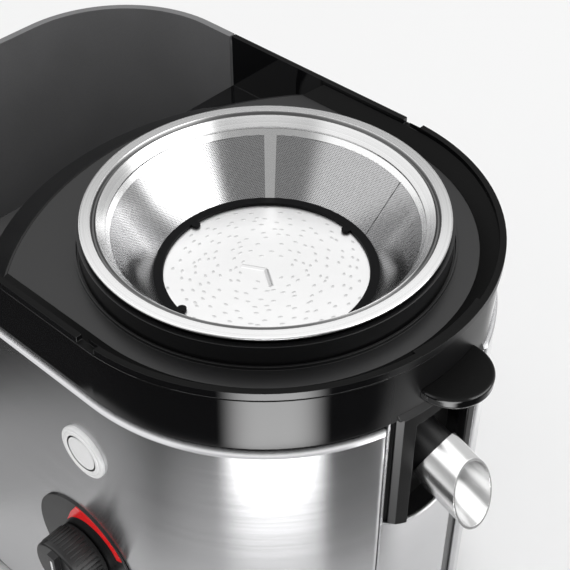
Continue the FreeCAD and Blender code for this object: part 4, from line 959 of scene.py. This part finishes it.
class Card(Graph):
    """Material of the reflection card on the floor."""

    def __init__(self, name):
        self.material = bpy.data.materials.new(name)
        self.material.use_nodes = True
        self.material.node_tree.nodes.clear()
        super().__init__(self.material.node_tree)

    def shine(self, border, edge):
        """End the tree with the light that the panels see, and beyond a border the collar's."""
        x, y, _ = self.split(self.about_axis())
        outer = self.smooth(self.reach(x, y), border - edge, border + edge)
        near = self.lit(x, y, NEAR_LEVEL, NEAR_BOXES)
        level = near + outer * (self.lit(x, y, FAR_LEVEL, FAR_BOXES) - near)
        light = self.term(self.node("ShaderNodeEmission", sockets={"Color": level}))
        self.node("ShaderNodeOutputMaterial", sockets={0: light})
        return self.material


def only_in_reflections(card):
    """A card that shows in gloss alone, and neither lights nor shades the scene."""
    card.visible_camera = False
    card.visible_diffuse = False
    card.visible_shadow = False
    card.visible_transmission = False
    card.visible_volume_scatter = False


def soft_lamp(name, radiance, size, place):
    """Square lamp that faces down, placed about the motor axis and seen neither directly nor in gloss."""
    lamp = bpy.data.lights.new(name, "AREA")
    lamp.size = size
    lamp.energy = math.pi * size * size * radiance
    holder = bpy.data.objects.new(name, lamp)
    holder.location = place + AXIS
    holder.visible_camera = False
    holder.visible_glossy = False
    bpy.context.scene.collection.objects.link(holder)


class JUICER_OT_stage(bpy.types.Operator):
    """Set up the floor, the lamp, the reflection card and the camera"""

    bl_idname = "juicer.stage"
    bl_label = "Stage"

    def execute(self, context):
        stage = context.scene.juicer_stage
        self.floor(stage)
        self.light(context.scene, stage)
        self.card()
        self.camera(context.scene, stage)
        context.scene.view_settings.view_transform = "Standard"
        return {"FINISHED"}

    def floor(self, stage):
        ground = Finish("pale_floor", {"Specular IOR Level": 0.1})
        clouds = ground.noise((2.0, 2.0, 2.0))
        ground.paint(
            Base_Color=ground.mixed(clouds, shade(stage.floor, 0.985), stage.floor),
            Roughness=clouds * 0.1 + 0.8)
        shape = bmesh.new()
        bmesh.ops.create_grid(shape, x_segments=4, y_segments=4, size=FLOOR_HALF)
        from_bmesh("floor", shape, ground.material)

    def light(self, scene, stage):
        """White for the camera, a painted studio for gloss and an even light for all else."""
        room = bpy.data.worlds.new("room")
        room.use_nodes = True
        room.node_tree.nodes.clear()
        sky = Graph(room.node_tree)
        x, y, z = sky.split(sky.term(sky.node("ShaderNodeTexCoord"), "Generated"))
        lean, towards = math.radians(CEILING_LEAN), math.radians(CEILING_TOWARDS)
        level = z * math.cos(lean) + (x * math.cos(towards) + y * math.sin(towards)) * math.sin(lean)
        rise = sky.maths("ARCSINE", level) * math.degrees(1.0)
        high = sky.smooth(rise, CEILING_FROM - CEILING_EDGE, CEILING_FROM + CEILING_EDGE)
        wall = sky.lit(x, y, WALL_LEVEL, WALL_BOXES)
        gloss = wall + high * (CEILING_LEVEL - wall)
        rays = sky.node("ShaderNodeLightPath")
        camera = sky.term(rays, "Is Camera Ray")
        glossy = sky.term(rays, "Is Glossy Ray")
        strength = camera + (1.0 - camera) * (glossy * gloss + (1.0 - glossy) * stage.room)
        white = {"Color": (1.0, 1.0, 1.0, 1.0), "Strength": strength}
        backdrop = sky.term(sky.node("ShaderNodeBackground", sockets=white))
        sky.node("ShaderNodeOutputWorld", sockets={0: backdrop})
        scene.world = room
        soft_lamp("top_lamp", stage.top_lamp, LAMP_SIZE, LAMP_PLACE)

    def card(self):
        """Ring on the floor: the panels see its inner part and the collar its outer part."""
        light = Card("floor_card").shine(CARD_BORDER, CARD_BORDER_EDGE)
        only_in_reflections(flat_ring("floor_card", CARD_INNER, CARD_OUTER, CARD_HEIGHT, light))

    def camera(self, scene, stage):
        turn, rise = stage.camera_turn, stage.camera_rise
        back = Vector((math.sin(turn) * math.cos(rise), -math.cos(turn) * math.cos(rise), math.sin(rise)))
        right = Vector((math.cos(turn), math.sin(turn), 0.0))
        lens = bpy.data.cameras.new("camera")
        lens.lens = stage.lens
        lens.sensor_width = SENSOR_WIDTH
        lens.clip_start = CLIP_START
        holder = bpy.data.objects.new("camera", lens)
        turned = Matrix((right, back.cross(right), back)).transposed().to_4x4()
        holder.matrix_world = Matrix.Translation(Vector(stage.camera_place) + AXIS) @ turned
        scene.collection.objects.link(holder)
        scene.camera = holder


class JUICER_PT_looks(bpy.types.Panel):
    """Steps that dress the juicer, in order"""

    bl_idname = "JUICER_PT_looks"
    bl_label = "Juicer"
    bl_space_type = "VIEW_3D"
    bl_region_type = "UI"
    bl_category = "Juicer"

    def draw(self, context):
        for step in STEPS:
            self.layout.operator(step.bl_idname)
        for name, group in SETTINGS.items():
            box = self.layout.box()
            box.label(text=group.__doc__)
            for key in group.__annotations__:
                box.prop(getattr(context.scene, name), key)


SETTINGS = {
    "juicer_sieve": SieveSettings,
    "juicer_grater": GraterSettings,
    "juicer_dial": DialSettings,
    "juicer_badge": BadgeSettings,
    "juicer_finishes": FinishSettings,
    "juicer_stage": StageSettings,
}
STEPS = [
    JUICER_OT_finishes,
    JUICER_OT_sieve_sheets,
    JUICER_OT_grater_teeth,
    JUICER_OT_knob_details,
    JUICER_OT_badge_cap,
    JUICER_OT_stage,
]


def register():
    for name, group in SETTINGS.items():
        bpy.utils.register_class(group)
        setattr(bpy.types.Scene, name, bpy.props.PointerProperty(type=group))
    for step in STEPS:
        bpy.utils.register_class(step)
    bpy.utils.register_class(JUICER_PT_looks)


def unregister():
    bpy.utils.unregister_class(JUICER_PT_looks)
    for step in reversed(STEPS):
        bpy.utils.unregister_class(step)
    for name, group in SETTINGS.items():
        delattr(bpy.types.Scene, name)
        bpy.utils.unregister_class(group)


def main():
    register()
    bpy.ops.juicer.finishes()
    bpy.ops.juicer.sieve_sheets()
    bpy.ops.juicer.grater_teeth()
    bpy.ops.juicer.knob_details()
    bpy.ops.juicer.badge_cap()
    bpy.ops.juicer.stage()


if __name__ == "__main__":
    main()
